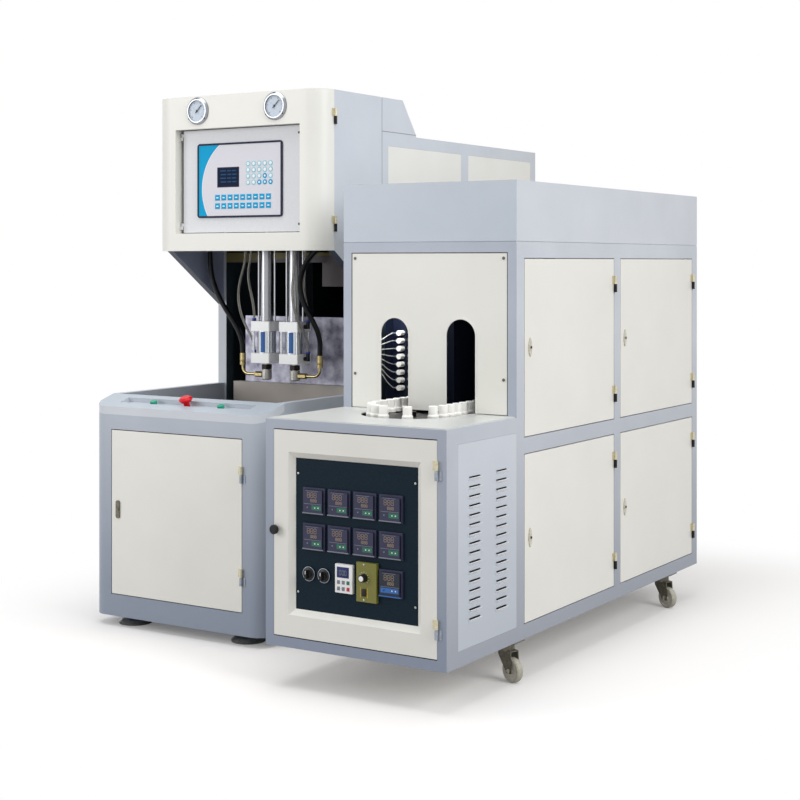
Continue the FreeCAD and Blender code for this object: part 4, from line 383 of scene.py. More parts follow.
# Caster wheels: cast nylon, ivory, with grime in soft patches.
nylon = grained("cast_nylon_wheel", "#D8D5C9", "#C0BDAF", 0.45, 6)
# Their treads: the same nylon, rolled dull and darker.
tread = grained("worn_nylon_tread", "#BBB8AA", "#A3A092", 0.5, 6)
# Preform holders: turned acetal, clean and white.
acetal = grained("white_acetal", "#FBFAF6", "#F3F1EB", 0.4, 2)
# Terminal blocks: dark phenolic.
terminal_bakelite = grained("dark_terminal_block", "#24262E", "#1A1C23", 0.5, 2)
# Pads of the levelling feet: grey rubber, quite matt.
foot_rubber = grained("grey_foot_rubber", "#55534F", "#3F3E3B", 0.7, 2)
# Pressure hoses: black rubber with a long soft highlight, and a cloth imprint of 1.6 mm.
hose_rubber = grained("black_hose_rubber", "#15171B", "#0B0C0F", 0.34, 1.6, Specular_IOR_Level=0.18)
# Collets: moulded acetal in a strong blue, with a small sharp highlight.
blue_collet = grained("blue_collet", "#2A3FA8", "#213392", 0.35)
# Air tubes: clear polyurethane, which bends the light of what is behind it.
clear_tube = grained("clear_polyurethane", "#BDBBB2", "#A5A39B", 0.1, 3, Transmission_Weight=0.7, IOR=1.5)
print(len(bpy.data.materials), "materials so far")

# %% Enamel, ceramic and glass
# The control panel: smooth navy enamel, darker than its instruments.
navy_enamel = grained("navy_enamel", "#08202E", "#071924", 0.5, 5, Specular_IOR_Level=0.12)
# Plates behind the lamps: blue-black stove enamel.
oven_enamel = grained("oven_enamel", "#141B30", "#0C1222", 0.5, 5, Specular_IOR_Level=0.25)
# The speed controller: olive anodised plate.
olive_plate = grained("olive_anodised_plate", "#7C7A2E", "#6C6A27", 0.4, 1.5)
# Lamp ends: white steatite, like unglazed china.
steatite = grained("white_steatite", "#F6F5F1", "#EDEBE4", 0.35, 2)
# Lamp tubes: quartz glass, half clear.
lamp_glass = grained("lamp_quartz", "#D9DCE2", "#C6CAD2", 0.12, 3, Transmission_Weight=0.5)
# Wires: pale woven glass sleeve, rough.
wire_sleeve = grained("pale_glass_sleeve", "#D8D6D0", "#BFBDB6", 0.55, 1.2)
# The keypad's display: dead dark blue liquid crystal.
screen_glass = grained("lcd_glass", "#0C1A38", "#08132C", 0.5, 4.0, Specular_IOR_Level=0.08)
# The inverter's display: a lighter violet blue.
inverter_glass = grained("inverter_display", "#2C376A", "#242E5B", 0.45, 2, Specular_IOR_Level=0.2)
print(len(bpy.data.materials), "materials so far")

# %% Printed film and inks
# The keypad's film: lilac white polyester.
membrane = grained("lilac_membrane", "#DBDAE2", "#D5D4DD", 0.5)
# The gauges' cards: pale blue card.
dial_card = grained("pale_dial_card", "#D3DEEA", "#C9D5E2", 0.5, 3, Specular_IOR_Level=0.2)
# The keypad's field and square keys: flat, even, saturated cyan.
cyan_ink = grained("cyan_ink", "#07A9DC", "#069BCB", 0.5, Specular_IOR_Level=0.1)
# Most of its round keys: the same ink, thinned with white.
pale_ink = grained("pale_cyan_ink", "#8FD0DF", "#7EC6D8", 0.5, Specular_IOR_Level=0.2)
# Bars on the keypad's display: hardly lighter than the glass.
faint_ink = grained("faint_blue_ink", "#1A4C78", "#174268", 0.5, Specular_IOR_Level=0.1)
# Marks, pointers and the inverter's case: opaque white.
white_ink = grained("white_ink", "#F4F4F4", "#ECECEC", 0.5)
# Short ticks, rules and strips: mid grey, which recedes.
grey_ink = grained("grey_ink", "#7C808C", "#6E727E", 0.5)
# Needles and long ticks, and the painted shade in the seams: near black.
black_ink = grained("black_ink", "#15161A", "#0E0F12", 0.5)
# Keys on the meters: bottle green, which looks almost black in shade.
green_ink = grained("green_ink", "#0B6B50", "#095D45", 0.45)
# The inverter's stop key: red, a little towards crimson.
red_ink = grained("red_ink", "#C21F3A", "#AE1A32", 0.45)
# Stripes on the barrels and the ninth meter's field: clear mid blue.
blue_ink = grained("blue_ink", "#2468B4", "#1F5BA2", 0.45)
# Lines beside the rocker: amber yellow.
yellow_ink = grained("yellow_ink", "#D9A82E", "#C79828", 0.45)
# Bars of the meters' figures that aren't lit: a dusty amber behind dark film.
amber_digit = grained("unlit_amber_digit", "#96826F", "#857262", 0.5)
print(len(bpy.data.materials), "materials")

# %% [markdown]
# ## Painting the steelwork
# A sheet and the hinge that is welded to it are one node, and yet they have two finishes. A finish goes
# on by place: each triangle of the node takes the material whose test its middle passes. The triangles
# themselves are left as they are.

# %% Painting helpers
SKIN = 0.4 * MM
MARGIN = 1 * MM
FACING = 0.5


def paint(node, all_over, *coats):
    """One finish all over, then others on the triangles whose middle and normal pass their test."""
    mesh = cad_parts[node].data
    mesh.materials.clear()
    for material in (all_over, *(coat for coat, _ in coats)):
        mesh.materials.append(material)
    for polygon in mesh.polygons:
        passed = [slot for slot, (_, test) in enumerate(coats, 1) if test(polygon.center, polygon.normal)]
        polygon.material_index = passed[-1] if passed else 0


def right_of(x):
    return lambda middle, normal: middle.x > x


def in_front_of(y):
    return lambda middle, normal: middle.y < y


def on_rim(node, across):
    """Faces that look along a sheet, at the sheet's own outer edges; across is the axis through it."""
    low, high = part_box(node)
    along = [axis for axis in range(3) if axis != across]

    def test(middle, normal):
        if abs(normal[across]) > FACING:
            return False
        return any(middle[a] < low[a] + MARGIN or middle[a] > high[a] - MARGIN for a in along)
    return test


print("a coat goes on what stands", round(SKIN / MM, 1), "mm proud")

# %% [markdown]
# Hoods and console are folded from sheet, so their faces are told apart by the way they look: the hood's
# front and the console's sloping top take painted shade, a darker copy of the grey. The louvres' lips stand
# out of the panel, and so lie right of its face; they take painted highlight, a paler copy of the coat.

# %% Hoods, console and louvred panel
CONSOLE_SLOPE = 0.7
louvre_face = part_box("heater_frame")[1].x
paint("head_hood", grey_coat)
paint("heater_hood", grey_coat, (hood_front_shade_coat, lambda m, n: n.y < -FACING))
paint("console", grey_coat, (console_top_shade_coat, lambda m, n: n.z > CONSOLE_SLOPE))
paint("louvre_panel", louvre_coat, (lip_highlight_coat, right_of(louvre_face + SKIN)))
print("painted the hoods, the console and the louvred panel")

# %% [markdown]
# Doors carry the upper halves of their hinges, plated in a pale yellow, and the heater's side doors also a
# nickel plated latch. These stand out of the door's face, so whatever lies in front of the face is hardware.
# The lower hinge halves belong to the frames. The inner faces of the side doors and of the fixed sheets
# take painted shade, a matt dark tone. The edges of the base door and the heater door are black, painted
# shade for the gaps round them.

# %% Doors and hinges
SIDE_DOORS = [f"side_door_{height}_{place}" for height in ("lower", "upper") for place in ("front", "rear")]
HINGE_WIDTH = 22 * MM
HEAD_HINGES_Z = 1300 * MM
heater_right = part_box("heater_hood")[1].x
heater_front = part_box("heater_frame")[0].y
base_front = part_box("base_shell")[0].y
cover_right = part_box("head_side_plates")[1].x

for node in SIDE_DOORS:
    hinge_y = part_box(node)[1].y - HINGE_WIDTH
    paint(node, cream_coat, (bright_latch, right_of(heater_right + SKIN)),
          (pale_brass, lambda m, n, y=hinge_y: m.x > heater_right + SKIN and m.y > y),
          (inward_shade_coat, lambda m, n: n.x < -FACING and m.x < heater_right - MARGIN))
for node, front in (("base_door", base_front), ("heater_door", heater_front)):
    paint(node, cream_coat, (gap_shade_coat, on_rim(node, 1)), (pale_brass, in_front_of(front - SKIN)))
paint("head_cover", cream_coat, (pale_brass, right_of(cover_right + SKIN)))
paint("base_latch", dull_zinc)
paint("heater_door_knob", black_abs)
paint("door_hinges", blue_zinc,
      (black_oxide, lambda m, n: m.z > HEAD_HINGES_Z or m.x > heater_right + SKIN))
print("painted the doors")

# %% [markdown]
# The heater's frame is grey tube, with painted shade on its front walls. Beside its front door its inner
# walls are black, painted shade for the gap, and what hangs below it is zinc plated: the casters' plates,
# races and kingpins. Its plain panels are cream outside; inside them, and behind the front panel, lies
# painted shade.

# %% Heater frame and panels
TUBE_WALL = 2 * MM
DOOR_DEPTH = 20 * MM
frame_low, frame_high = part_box("heater_frame")
panels_low, panels_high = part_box("heater_panels")
gap_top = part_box("heater_front_panel")[0].z - DOOR_DEPTH


def in_door_gap(middle, normal):
    """The frame's inner walls beside its front door."""
    looks_across = abs(normal.y) < FACING and middle.y < heater_front + DOOR_DEPTH
    between = frame_low.x + TUBE_WALL < middle.x < frame_high.x - TUBE_WALL
    return looks_across and between and panels_low.z + TUBE_WALL < middle.z < gap_top


def inside_panels(middle, normal):
    beside = middle.x > panels_low.x + MARGIN and middle.y < panels_high.y - MARGIN
    return beside and middle.z > panels_low.z + MARGIN


# Painted shade: a darker grey on the front walls, and black on the walls of the door gap.
paint("heater_frame", tube_coat, (tube_front_shade_coat, lambda m, n: n.y < -FACING), (gap_shade_coat, in_door_gap),
      (dull_zinc, lambda m, n: m.z < panels_low.z - SKIN))
paint("heater_panels", cream_coat, (inward_shade_coat, inside_panels))
paint("heater_front_panel", cream_coat, (inward_shade_coat, lambda m, n: n.y > FACING))
paint("heater_table", table_coat)
print("painted the heater's frame")

# %% [markdown]
# The rear cabinet has cream sheets between grey tubes, with painted shade, a matt dark tone, on every face
# that looks inwards. The head's side plates take painted shade: a darker bluish grey inside, and a dark line
# along the slanted edges that look down.

# %% Base, head and cabinet
SLANTED_DOWN = 0.3
plates_low, plates_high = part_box("head_side_plates")
cabinet_low, cabinet_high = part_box("rear_frame")


def inside_head(middle, normal):
    return plates_low.x + MARGIN < middle.x < plates_high.x - MARGIN


def inside_cabinet(middle, normal):
    between = cabinet_low.x + MARGIN < middle.x < cabinet_high.x - MARGIN
    return between and middle.y < cabinet_high.y - MARGIN and middle.z < cabinet_high.z - MARGIN


paint("base_shell", base_coat)
paint("head_side_plates", grey_coat, (head_inner_shade_coat, inside_head),
      (head_edge_shade_coat, lambda m, n: n.z < -SLANTED_DOWN))
paint("rear_frame", grey_coat,
      (inward_shade_coat, lambda m, n: inside_cabinet(m, n) and m.y > cabinet_low.y + MARGIN))
paint("rear_panels", cream_coat, (inward_shade_coat, inside_cabinet))
print("painted the base, the head and the cabinet")

# %% [markdown]
# The heater stands on swivel casters, all turned the same way by the last push. A caster's axle and its tread
# are found by how far they lie from the axle's line, because the forks stand askew. The blowing station
# stands on levelling feet: a rubber pad on a zinc plated stud.

# %% Casters and feet
CASTER_TURN = math.radians(-21.5)
AXLE_WAY = Vector((-math.sin(CASTER_TURN), math.cos(CASTER_TURN), 0))
AXLE_RADIUS = 5 * MM
TREAD_DEPTH = 6 * MM
FOOT_RIM = 7.5 * MM


def off_axle(middle, axle):
    """How far a point lies from the line of a caster's axle."""
    arm = middle - axle
    return (arm - AXLE_WAY * arm.dot(AXLE_WAY)).length


paint("levelling_feet", foot_rubber, (zinc_plate, lambda m, n: m.z > FOOT_RIM))
for corner in ("left_front", "left_rear", "right_front", "right_rear"):
    low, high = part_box("caster_wheel_" + corner)
    axle = (low + high) / 2
    tread_from = (high.z - low.z) / 2 - TREAD_DEPTH
    paint("caster_fork_" + corner, dull_zinc,
          (zinc_plate, lambda m, n, a=axle: off_axle(m, a) < AXLE_RADIUS + SKIN))
    paint("caster_wheel_" + corner, nylon,
          (tread, lambda m, n, a=axle, r=tread_from: off_axle(m, a) > r))
print("painted the casters and feet")

# %% [markdown]
# The blowing unit hangs in the open between head and base. Its columns are hard chromed, the cylinders' caps
# blasted aluminium, and each nozzle is turned steel with a black locknut and a brass elbow.

# %% Blowing unit and clamp
PISTON_RADIUS = 31.45 * MM
ELBOW_FROM = 22 * MM
ELBOW_TOP_Z = 960 * MM
LOCKNUT_Z = (885.5 * MM, 904.5 * MM)
BEAM_TOP_Z = 1331 * MM
BEAM_LENGTH = 330 * MM
PLATEN_DEPTH = 40 * MM
PLATEN_SHEET = 5 * MM

for node, finish in (("blow_columns", hard_chrome), ("cylinder_caps", cap_aluminium),
                     ("cylinder_barrels", barrel_aluminium), ("stretch_rods", turned_steel),
                     ("tube_fittings", black_abs), ("clamp_frame", platen_coat),
                     ("clamp_cylinder", platen_coat)):
    paint(node, finish)
for node, side in (("nozzle_left", 1), ("nozzle_right", -1)):
    low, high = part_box(node)
    outer_x = high.x if side > 0 else low.x
    axis = Vector((outer_x, (low.y + high.y) / 2, 0)) - Vector((side * PISTON_RADIUS, 0, 0))
    paint(node, turned_steel, (black_oxide, lambda m, n: LOCKNUT_Z[0] < m.z < LOCKNUT_Z[1]),
          (yellow_brass, lambda m, n, a=axis: math.hypot(m.x - a.x, m.y - a.y) > ELBOW_FROM
           and m.z < ELBOW_TOP_Z))
beam_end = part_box("head_beams")[0].x + BEAM_LENGTH
# Above the band, the head's beams take painted shade, a matt dark tone; below it they are olive, then mauve.
paint("head_beams", inward_shade_coat, (beam_coat, lambda m, n: m.z < BEAM_TOP_Z and m.x < beam_end),
      (mauve_coat, lambda m, n: m.z < BEAM_TOP_Z and m.x >= beam_end))
platen_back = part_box("moving_platen")[0].y + PLATEN_DEPTH
paint("moving_platen", platen_coat,
      (galvanised, lambda m, n: platen_back - SKIN / 4 < m.y < platen_back + PLATEN_SHEET),
      (turned_steel, lambda m, n: m.y >= platen_back + PLATEN_SHEET))
print("painted the blowing unit and the clamp")

# %% [markdown]
# In the oven, dark enamelled plates stand behind the lamps. A lamp is a quartz tube with white steatite
# ends. A sleeved wire leads from the terminal on each end to a block. The holders are white acetal on a black
# chain.

# %% Oven
LAMP_FRONT_Y = -536.5 * MM
LAMP_END = 26.5 * MM
TERMINAL_DEPTH = 13 * MM
TERMINAL_FROM = 228.8 * MM
BLOCK_WIDTH = 15.3 * MM


def in_lamp_tube(middle, normal):
    return LAMP_FRONT_Y + LAMP_END < middle.y < oven_high.y - LAMP_END


def on_wire(middle, normal):
    return middle.y < LAMP_FRONT_Y - SKIN


def on_terminal(middle, normal):
    out = abs(middle.x - (oven_low.x + oven_high.x) / 2)
    return out > TERMINAL_FROM and middle.y < LAMP_FRONT_Y + TERMINAL_DEPTH


def on_terminal_block(middle, normal):
    beside = middle.x < oven_low.x + BLOCK_WIDTH or middle.x > oven_high.x - BLOCK_WIDTH
    return beside and on_wire(middle, normal)


paint("oven_lamps", steatite, (lamp_glass, in_lamp_tube), (blue_zinc, on_terminal), (wire_sleeve, on_wire),
      (terminal_bakelite, on_terminal_block))
paint("oven_plates", oven_enamel)
paint("preform_holders", acetal)
paint("conveyor_chain", chain_steel)
print("painted the oven")

# %% [markdown]
# The heater's control panel is navy enamel, and its meters dark plastic. The two drive units below them are
# part of the same node, so they are told apart by their place in the rows. On the blowing station, the
# keypad sits on a satin aluminium panel, and two gauges in plated rings look out of the head's cover.

# %% Controls
GAUGE_RADIUS = 51 * MM
CARD_RADIUS = 39.5 * MM
CARD_LIP = 3 * MM
METER_SIZE = 80 * MM
METER_PITCH_X = 91.5 * MM
METER_PITCH_Z = 108 * MM
BESIDE_METERS = 3 * MM
BELOW_METERS = 5 * MM
SPEED_UNIT_WIDTH = 82 * MM
gauges_low, gauges_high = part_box("pressure_gauges")
gauge_x = {"left": gauges_low.x + GAUGE_RADIUS, "right": gauges_high.x - GAUGE_RADIUS}
gauge_z = (gauges_low.z + gauges_high.z) / 2
instruments_low, instruments_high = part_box("panel_instruments")
top_row_z = instruments_high.z - METER_SIZE
units_right = instruments_low.x + 3 * METER_PITCH_X - BESIDE_METERS
units_top = top_row_z - METER_PITCH_Z - BELOW_METERS
speed_unit_left = units_right - SPEED_UNIT_WIDTH


def within_card(middle, normal):
    off_centre = min(math.hypot(middle.x - x, middle.z - gauge_z) for x in gauge_x.values())
    return off_centre < CARD_RADIUS - CARD_LIP


def on_inverter(middle, normal):
    return middle.z < units_top and middle.x < speed_unit_left


def on_speed_unit(middle, normal):
    return middle.z < units_top and speed_unit_left <= middle.x < units_right


for node, finish in (("control_panel", navy_enamel), ("inner_panel", satin_aluminium), ("keypad", navy_rim),
                     ("speed_knob", black_abs), ("switch_left", black_abs), ("switch_right", black_abs),
                     ("start_button_left", button_green), ("start_button_right", button_green),
                     ("emergency_stop", stop_red)):
    paint(node, finish)
paint("pressure_gauges", gauge_chrome, (dial_card, within_card))
paint("panel_instruments", meter_abs, (white_ink, on_inverter), (olive_plate, on_speed_unit))
print("painted the controls")

# %% [markdown]
# ## Shaping helpers
# Small trim starts as a cube or a cylinder of its real size, put where it belongs and then shaped with
# bevels and cuts. Each finished piece has its place in its mesh, sits at the origin, and rides on the
# body that carries it. A cutting tool reaches a little beyond what it cuts, so that no two faces coincide.

# %% Shaping helpers
OVERSHOOT = 10 * MM
TURNED = {"X": (0, math.radians(90), 0), "Y": (math.radians(90), 0, 0), "Z": (0, 0, 0)}


def alone(piece):
    bpy.ops.object.select_all(action="DESELECT")
    piece.select_set(True)
    bpy.context.view_layer.objects.active = piece


def settle(piece, name, material):
    """Names a piece, gives it its finish, and puts its place and size into its mesh."""
    alone(piece)
    bpy.ops.object.transform_apply(location=True, rotation=True, scale=True)
    piece.name = name
    piece.data.name = name
    piece.data.materials.append(material)
    return piece


def finish_with(piece, kind, **settings):
    """Adds one modifier and applies it."""
    alone(piece)
    modifier = piece.modifiers.new(kind.lower(), kind)
    for key, value in settings.items():
        setattr(modifier, key, value)
    bpy.ops.object.modifier_apply(modifier=modifier.name)
    return piece


def block(name, low, high, material, bevel=0.0):
    """A block between two corners, with rounded edges if it has a bevel."""
    low, high = Vector(low), Vector(high)
    bpy.ops.mesh.primitive_cube_add(size=1, location=(low + high) / 2, scale=high - low)
    piece = settle(bpy.context.object, name, material)
    if bevel:
        finish_with(piece, "BEVEL", width=bevel, segments=2)
    return piece


def tile(name, origin, across, up, proud, material, bevel=0.0):
    """A thin block on a face, in millimetres from a place on it: across, up, and how far it stands proud."""
    x, y, z = origin
    return block(name, (x + across[0] * MM, y - proud * MM, z + up[0] * MM),
                 (x + across[1] * MM, y, z + up[1] * MM), material, bevel * MM)


def rod(name, middle, radius, length, material, along="Z", bevel=0.0, sides=48):
    """A round bar along one axis of the machine."""
    bpy.ops.mesh.primitive_cylinder_add(
        vertices=sides, radius=radius, depth=length, location=middle, rotation=TURNED[along])
    piece = settle(bpy.context.object, name, material)
    if bevel:
        finish_with(piece, "BEVEL", width=bevel, segments=2, limit_method="ANGLE")
    return piece


def disc(name, centre, radius, thick, material, bevel=0.0, sides=48):
    """A round plate that faces the front; its back lies at centre."""
    middle = Vector(centre) - Vector((0, thick / 2, 0))
    return rod(name, middle, radius, thick, material, "Y", bevel, sides)


print("shaping helpers ready")

# %% Cutting, joining, copying and mounting
def cut_away(piece, tool, operation="DIFFERENCE"):
    """Cuts one piece with another, and throws the tool away."""
    finish_with(piece, "BOOLEAN", object=tool, operation=operation, solver="EXACT")
    bpy.data.objects.remove(tool)
    return piece


def joined(name, parts):
    bpy.ops.object.select_all(action="DESELECT")
    for part in parts:
        part.select_set(True)
    bpy.context.view_layer.objects.active = parts[0]
    bpy.ops.object.join()
    parts[0].name = name
    parts[0].data.name = name
    return parts[0]


def copied(piece, name, shift):
    """A copy with its own mesh, moved by a shift."""
    copy = piece.copy()
    copy.data = piece.data.copy()
    copy.name = name
    copy.data.name = name
    bpy.context.scene.collection.objects.link(copy)
    copy.data.transform(Matrix.Translation(shift))
    return copy


def mount(piece, body):
    """Smooths a piece's round faces and lets it ride on a body."""
    alone(piece)
    bpy.ops.object.shade_smooth_by_angle(angle=math.radians(30))
    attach(piece, body)
    return piece


print("helpers for finished pieces ready")

# %% [markdown]
# ## Air hoses
# A route is a handful of points, and a NURBS curve along them gives a smooth bow, which is how a stiff hose
# hangs. It could be simulated, but a simulated hose wouldn't pass where the real one does. The hose is then
# made a mesh.

# %% Hose helpers
ROUND_STEPS = 6
ROUTE_STEPS = 12
HEAD_PLATE_Z = 1345 * MM
SIDES = ("left", "right")
caps_low, caps_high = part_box("cylinder_caps")
nozzle_y = (caps_low.y + caps_high.y) / 2


def through(start, steps):
    """Places in metres, from steps in millimetres that all count from the start."""
    return [tuple(s + d * MM for s, d in zip(start, step)) for step in steps]


def hose_line(name, points, radius):
    """A smooth open curve along a route, round if it has a radius."""
    curve = bpy.data.curves.new(name, "CURVE")
    curve.dimensions = "3D"
    curve.resolution_u = ROUTE_STEPS
    line = curve.splines.new("NURBS")
    line.points.add(len(points) - 1)
    for point, place in zip(line.points, points):
        point.co = (*place, 1)
    line.order_u = 3
    line.use_endpoint_u = True
    curve.bevel_depth = radius
    curve.bevel_resolution = ROUND_STEPS
    curve.use_fill_caps = radius > 0
    piece = bpy.data.objects.new(name, curve)
    bpy.context.scene.collection.objects.link(piece)
    return piece


def hose(name, points, radius, material):
    """A mesh tube along a route, with the line that it follows and its length."""
    thin = hose_line(name + "_line", points, 0)
    line = [v.co.copy() for v in bpy.data.meshes.new_from_object(thin).vertices]
    bpy.data.objects.remove(thin)
    alone(hose_line(name, points, radius))
    bpy.ops.object.convert(target="MESH")
    piece = bpy.context.object
    piece.data.materials.append(material)
    bpy.ops.object.shade_smooth_by_angle(angle=math.radians(40))
    length = sum((b - a).length for a, b in zip(line, line[1:]))
    print(name, "is", round(length, 3), "m long")
    return piece, line, length


# %% [markdown]
# Two black pressure hoses feed the nozzles from the head. They are stiff, so each hangs in one long bow out
# of its brass ferrule. The left one goes up into the head's floor, and the right one curves over to the
# head's side plate.

# %% Black pressure hoses
FERRULE_RADIUS = 11.5 * MM
HOSE_RADIUS = 9.75 * MM
HOSE_START_Z = 944 * MM
SIDE_PLATE = 28 * MM
HOSE_STEPS = {
    "left": [(0, 0, 0), (0, 0, 20), (-4, -1, 50), (-19, -5, 88), (-47, -10, 132), (-84, -16, 182),
             (-115, -22, 240), (-133, -25, 290), (-141, -27, 352)],
    "right": [(0, 0, 0), (0, 0, 18), (3, -2, 48), (2, -12, 84), (-11, -28, 128), (-32, -42, 172),
              (-48, -50, 218), (-52, -56, 262), (-42, -62, 304), (-14, -72, 346), (28, -84, 382),
              (78, -92, 412), (132, -94, 428)],
}
head_plate_x = plates_high.x - SIDE_PLATE


def black_hose_route(side):
    """Points from the ferrule's mouth up to the head's floor or across to its side plate, in metres."""
    low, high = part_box("nozzle_" + side)
    x = low.x + FERRULE_RADIUS if side == "left" else high.x - FERRULE_RADIUS
    points = through((x, nozzle_y, HOSE_START_Z), HOSE_STEPS[side])
    last_x, last_y, last_z = points[-1]
    return points + [(last_x, last_y, HEAD_PLATE_Z) if side == "left" else (head_plate_x, last_y, last_z)]


for side in SIDES:
    route = black_hose_route(side)
    piece, line, length = hose("pressure_hose_" + side, route, HOSE_RADIUS, hose_rubber)
    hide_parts("black_hose_" + side)
    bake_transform(piece)

# %% [markdown]
# Four thinner air tubes work the cylinders. They are clear, and each plugs into a push-in elbow with a blue
# collet at its mouth. The collet is a short cylinder with rounded rims.

# %% Clear air tubes
TUBE_RADIUS = 5 * MM
CAP_HALF = 44 * MM
FITTING_REACH = {"left": -60.5 * MM, "right": 60.5 * MM}
FITTING_RISE = 24 * MM
CAP_Z = {"low": 929.5 * MM, "high": 1050.5 * MM}
TUBE_STEPS = {
    ("left", "low"): [(0, 0, 0), (0, 0, 17), (-6, -3, 46), (-30, -10, 90), (-56, -14, 144),
                      (-66, -16, 202), (-60, -16, 258), (-42, -16, 310), (-30, -16, 352)],
    ("left", "high"): [(0, 0, 0), (0, 0, 30), (-8, -6, 90), (-22, -8, 144), (-22, -8, 196),
                       (-10, -8, 236)],
    ("right", "low"): [(0, 0, 0), (0, 0, 17), (2, -6, 44), (-2, -26, 82), (-14, -48, 124),
                       (-26, -58, 178), (-30, -60, 234), (-24, -60, 288), (-18, -60, 344)],
    ("right", "high"): [(0, 0, 0), (0, 0, 20), (-2, -4, 54), (-9, -9, 96), (-12, -12, 148),
                        (-6, -12, 202), (-4, -12, 238)],
}
cylinder_x = {"left": caps_low.x + CAP_HALF, "right": caps_high.x - CAP_HALF}
mouth_x = {side: cylinder_x[side] + FITTING_REACH[side] for side in SIDES}
mouths = {(side, level): Vector((mouth_x[side], nozzle_y, CAP_Z[level] + FITTING_RISE))
          for side, level in TUBE_STEPS}

for (side, level), steps in TUBE_STEPS.items():
    route = through(mouths[side, level], steps)
    route.append((*route[-1][:2], HEAD_PLATE_Z))
    piece, line, length = hose(f"air_tube_{side}_{level}", route, TUBE_RADIUS, clear_tube)
    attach(piece, "machine")
    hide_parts("clear_tubes")

# %% Collets at the mouths of the push-in elbows
COLLET_RADIUS = 8.2 * MM
COLLET_HEIGHT = 9 * MM
for (side, level), mouth in mouths.items():
    collet = rod(f"collet_{side}_{level}", mouth, COLLET_RADIUS, COLLET_HEIGHT, blue_collet,
                 bevel=1.2 * MM, sides=32)
    mount(collet, "machine")
print(len(mouths), "collets")

# %% [markdown]
# ## Keypad
# The keypad's face is a printed membrane in a navy rim. A cyan field fills its left side up to a wide arc,
# a small display sits in the middle, and there are two rows of square keys and a block of round ones. The
# arc is cut with a large cylinder, because that gives a true curve with one operation.

# %% Keypad membrane
RIM = 7 * MM
FIELD_DEPTH = 2 * MM
FILM = 0.5 * MM
SCREEN_RIM = 4 * MM
rim_low, rim_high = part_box("keypad")
rim_size = rim_high - rim_low
face_y = rim_low.y + FIELD_DEPTH
ink_y = face_y - FILM
field_low = Vector((rim_low.x + RIM, ink_y, rim_low.z + RIM))
field_high = Vector((rim_high.x - RIM, face_y, rim_high.z - RIM))
# The display's corners, as shares of the keypad's width and height.
screen_low = Vector((rim_low.x + 0.25 * rim_size.x, 0, rim_low.z + 0.42 * rim_size.z))
screen_high = Vector((rim_low.x + 0.49 * rim_size.x, 0, rim_low.z + 0.66 * rim_size.z))
window_tool = block("window_tool", screen_low + Vector((-SCREEN_RIM, ink_y - OVERSHOOT, -SCREEN_RIM)),
                    screen_high + Vector((SCREEN_RIM, face_y + OVERSHOOT, SCREEN_RIM)), membrane)
mount(cut_away(block("keypad_membrane", field_low, field_high, membrane), window_tool), "inner_panel")
print("membrane", [round(v, 3) for v in field_high - field_low])

# %% Cyan field and its white edge
ARC_RADIUS = 198 * MM
ARC_LINE = 2.4 * MM
arc_centre = ((rim_low.x + rim_high.x) / 2 + 26.4 * MM, ink_y + OVERSHOOT, rim_low.z + 105.9 * MM)


def over_field(name, thick, material):
    """A layer of ink over the whole membrane."""
    return block(name, (field_low.x, ink_y - thick, field_low.z), (field_high.x, ink_y, field_high.z),
                 material)


def arc_tool(radius):
    return disc("arc_tool", arc_centre, radius, 2 * OVERSHOOT, cyan_ink, sides=160)


def left_half():
    """A block over the keypad's left half."""
    middle_x = (field_low.x + field_high.x) / 2
    return block("keep_left", (field_low.x - OVERSHOOT, ink_y - OVERSHOOT, field_low.z - OVERSHOOT),
                 (middle_x, ink_y + OVERSHOOT, field_high.z + OVERSHOOT), cyan_ink)


crescent = cut_away(over_field("keypad_crescent", 0.25 * MM, cyan_ink), arc_tool(ARC_RADIUS + ARC_LINE))
arc_line = cut_away(over_field("keypad_arc_line", 0.2 * MM, white_ink), arc_tool(ARC_RADIUS))
cut_away(arc_line, arc_tool(ARC_RADIUS + ARC_LINE), "INTERSECT")
for layer in (crescent, arc_line):
    mount(cut_away(layer, left_half(), "INTERSECT"), "inner_panel")
print("an arc of", round(ARC_RADIUS / MM), "mm")

# %% [markdown]
# The display is off, as on the real machine between runs: dark glass with four rows of faint bars, which
# only show from near by. Its glass stands in the window that was cut in the film, with a dark gap round it.

# %% Display
GLASS_FRONT, GLASS_BACK = 0.8 * MM, 0.1 * MM
ROW_PITCH_MM = 13.5
ROW_BARS_MM = ((10, 26), (42, 18), (64, 20))
mount(block("keypad_display", (screen_low.x, face_y - GLASS_FRONT, screen_low.z),
            (screen_high.x, face_y - GLASS_BACK, screen_high.z), screen_glass), "inner_panel")
glass_corner = (screen_low.x, face_y - GLASS_FRONT, screen_high.z)
display_rows = []
for row in range(4):
    z = -12 - ROW_PITCH_MM * row
    for start, width in ROW_BARS_MM:
        x = start + 2 * (row % 2)
        display_rows.append(tile("bar", glass_corner, (x, x + width), (z, z + 5), 0.2, faint_ink))
mount(joined("keypad_display_rows", display_rows), "inner_panel")
print("display", [round(v, 3) for v in screen_high - screen_low])

# %% [markdown]
# The keys are slightly domed under the film, so each is a thin block or disc with a soft bevel. One square
# key is shaped, and the rest are copies. Each carries a small white mark, a bar or a dot.

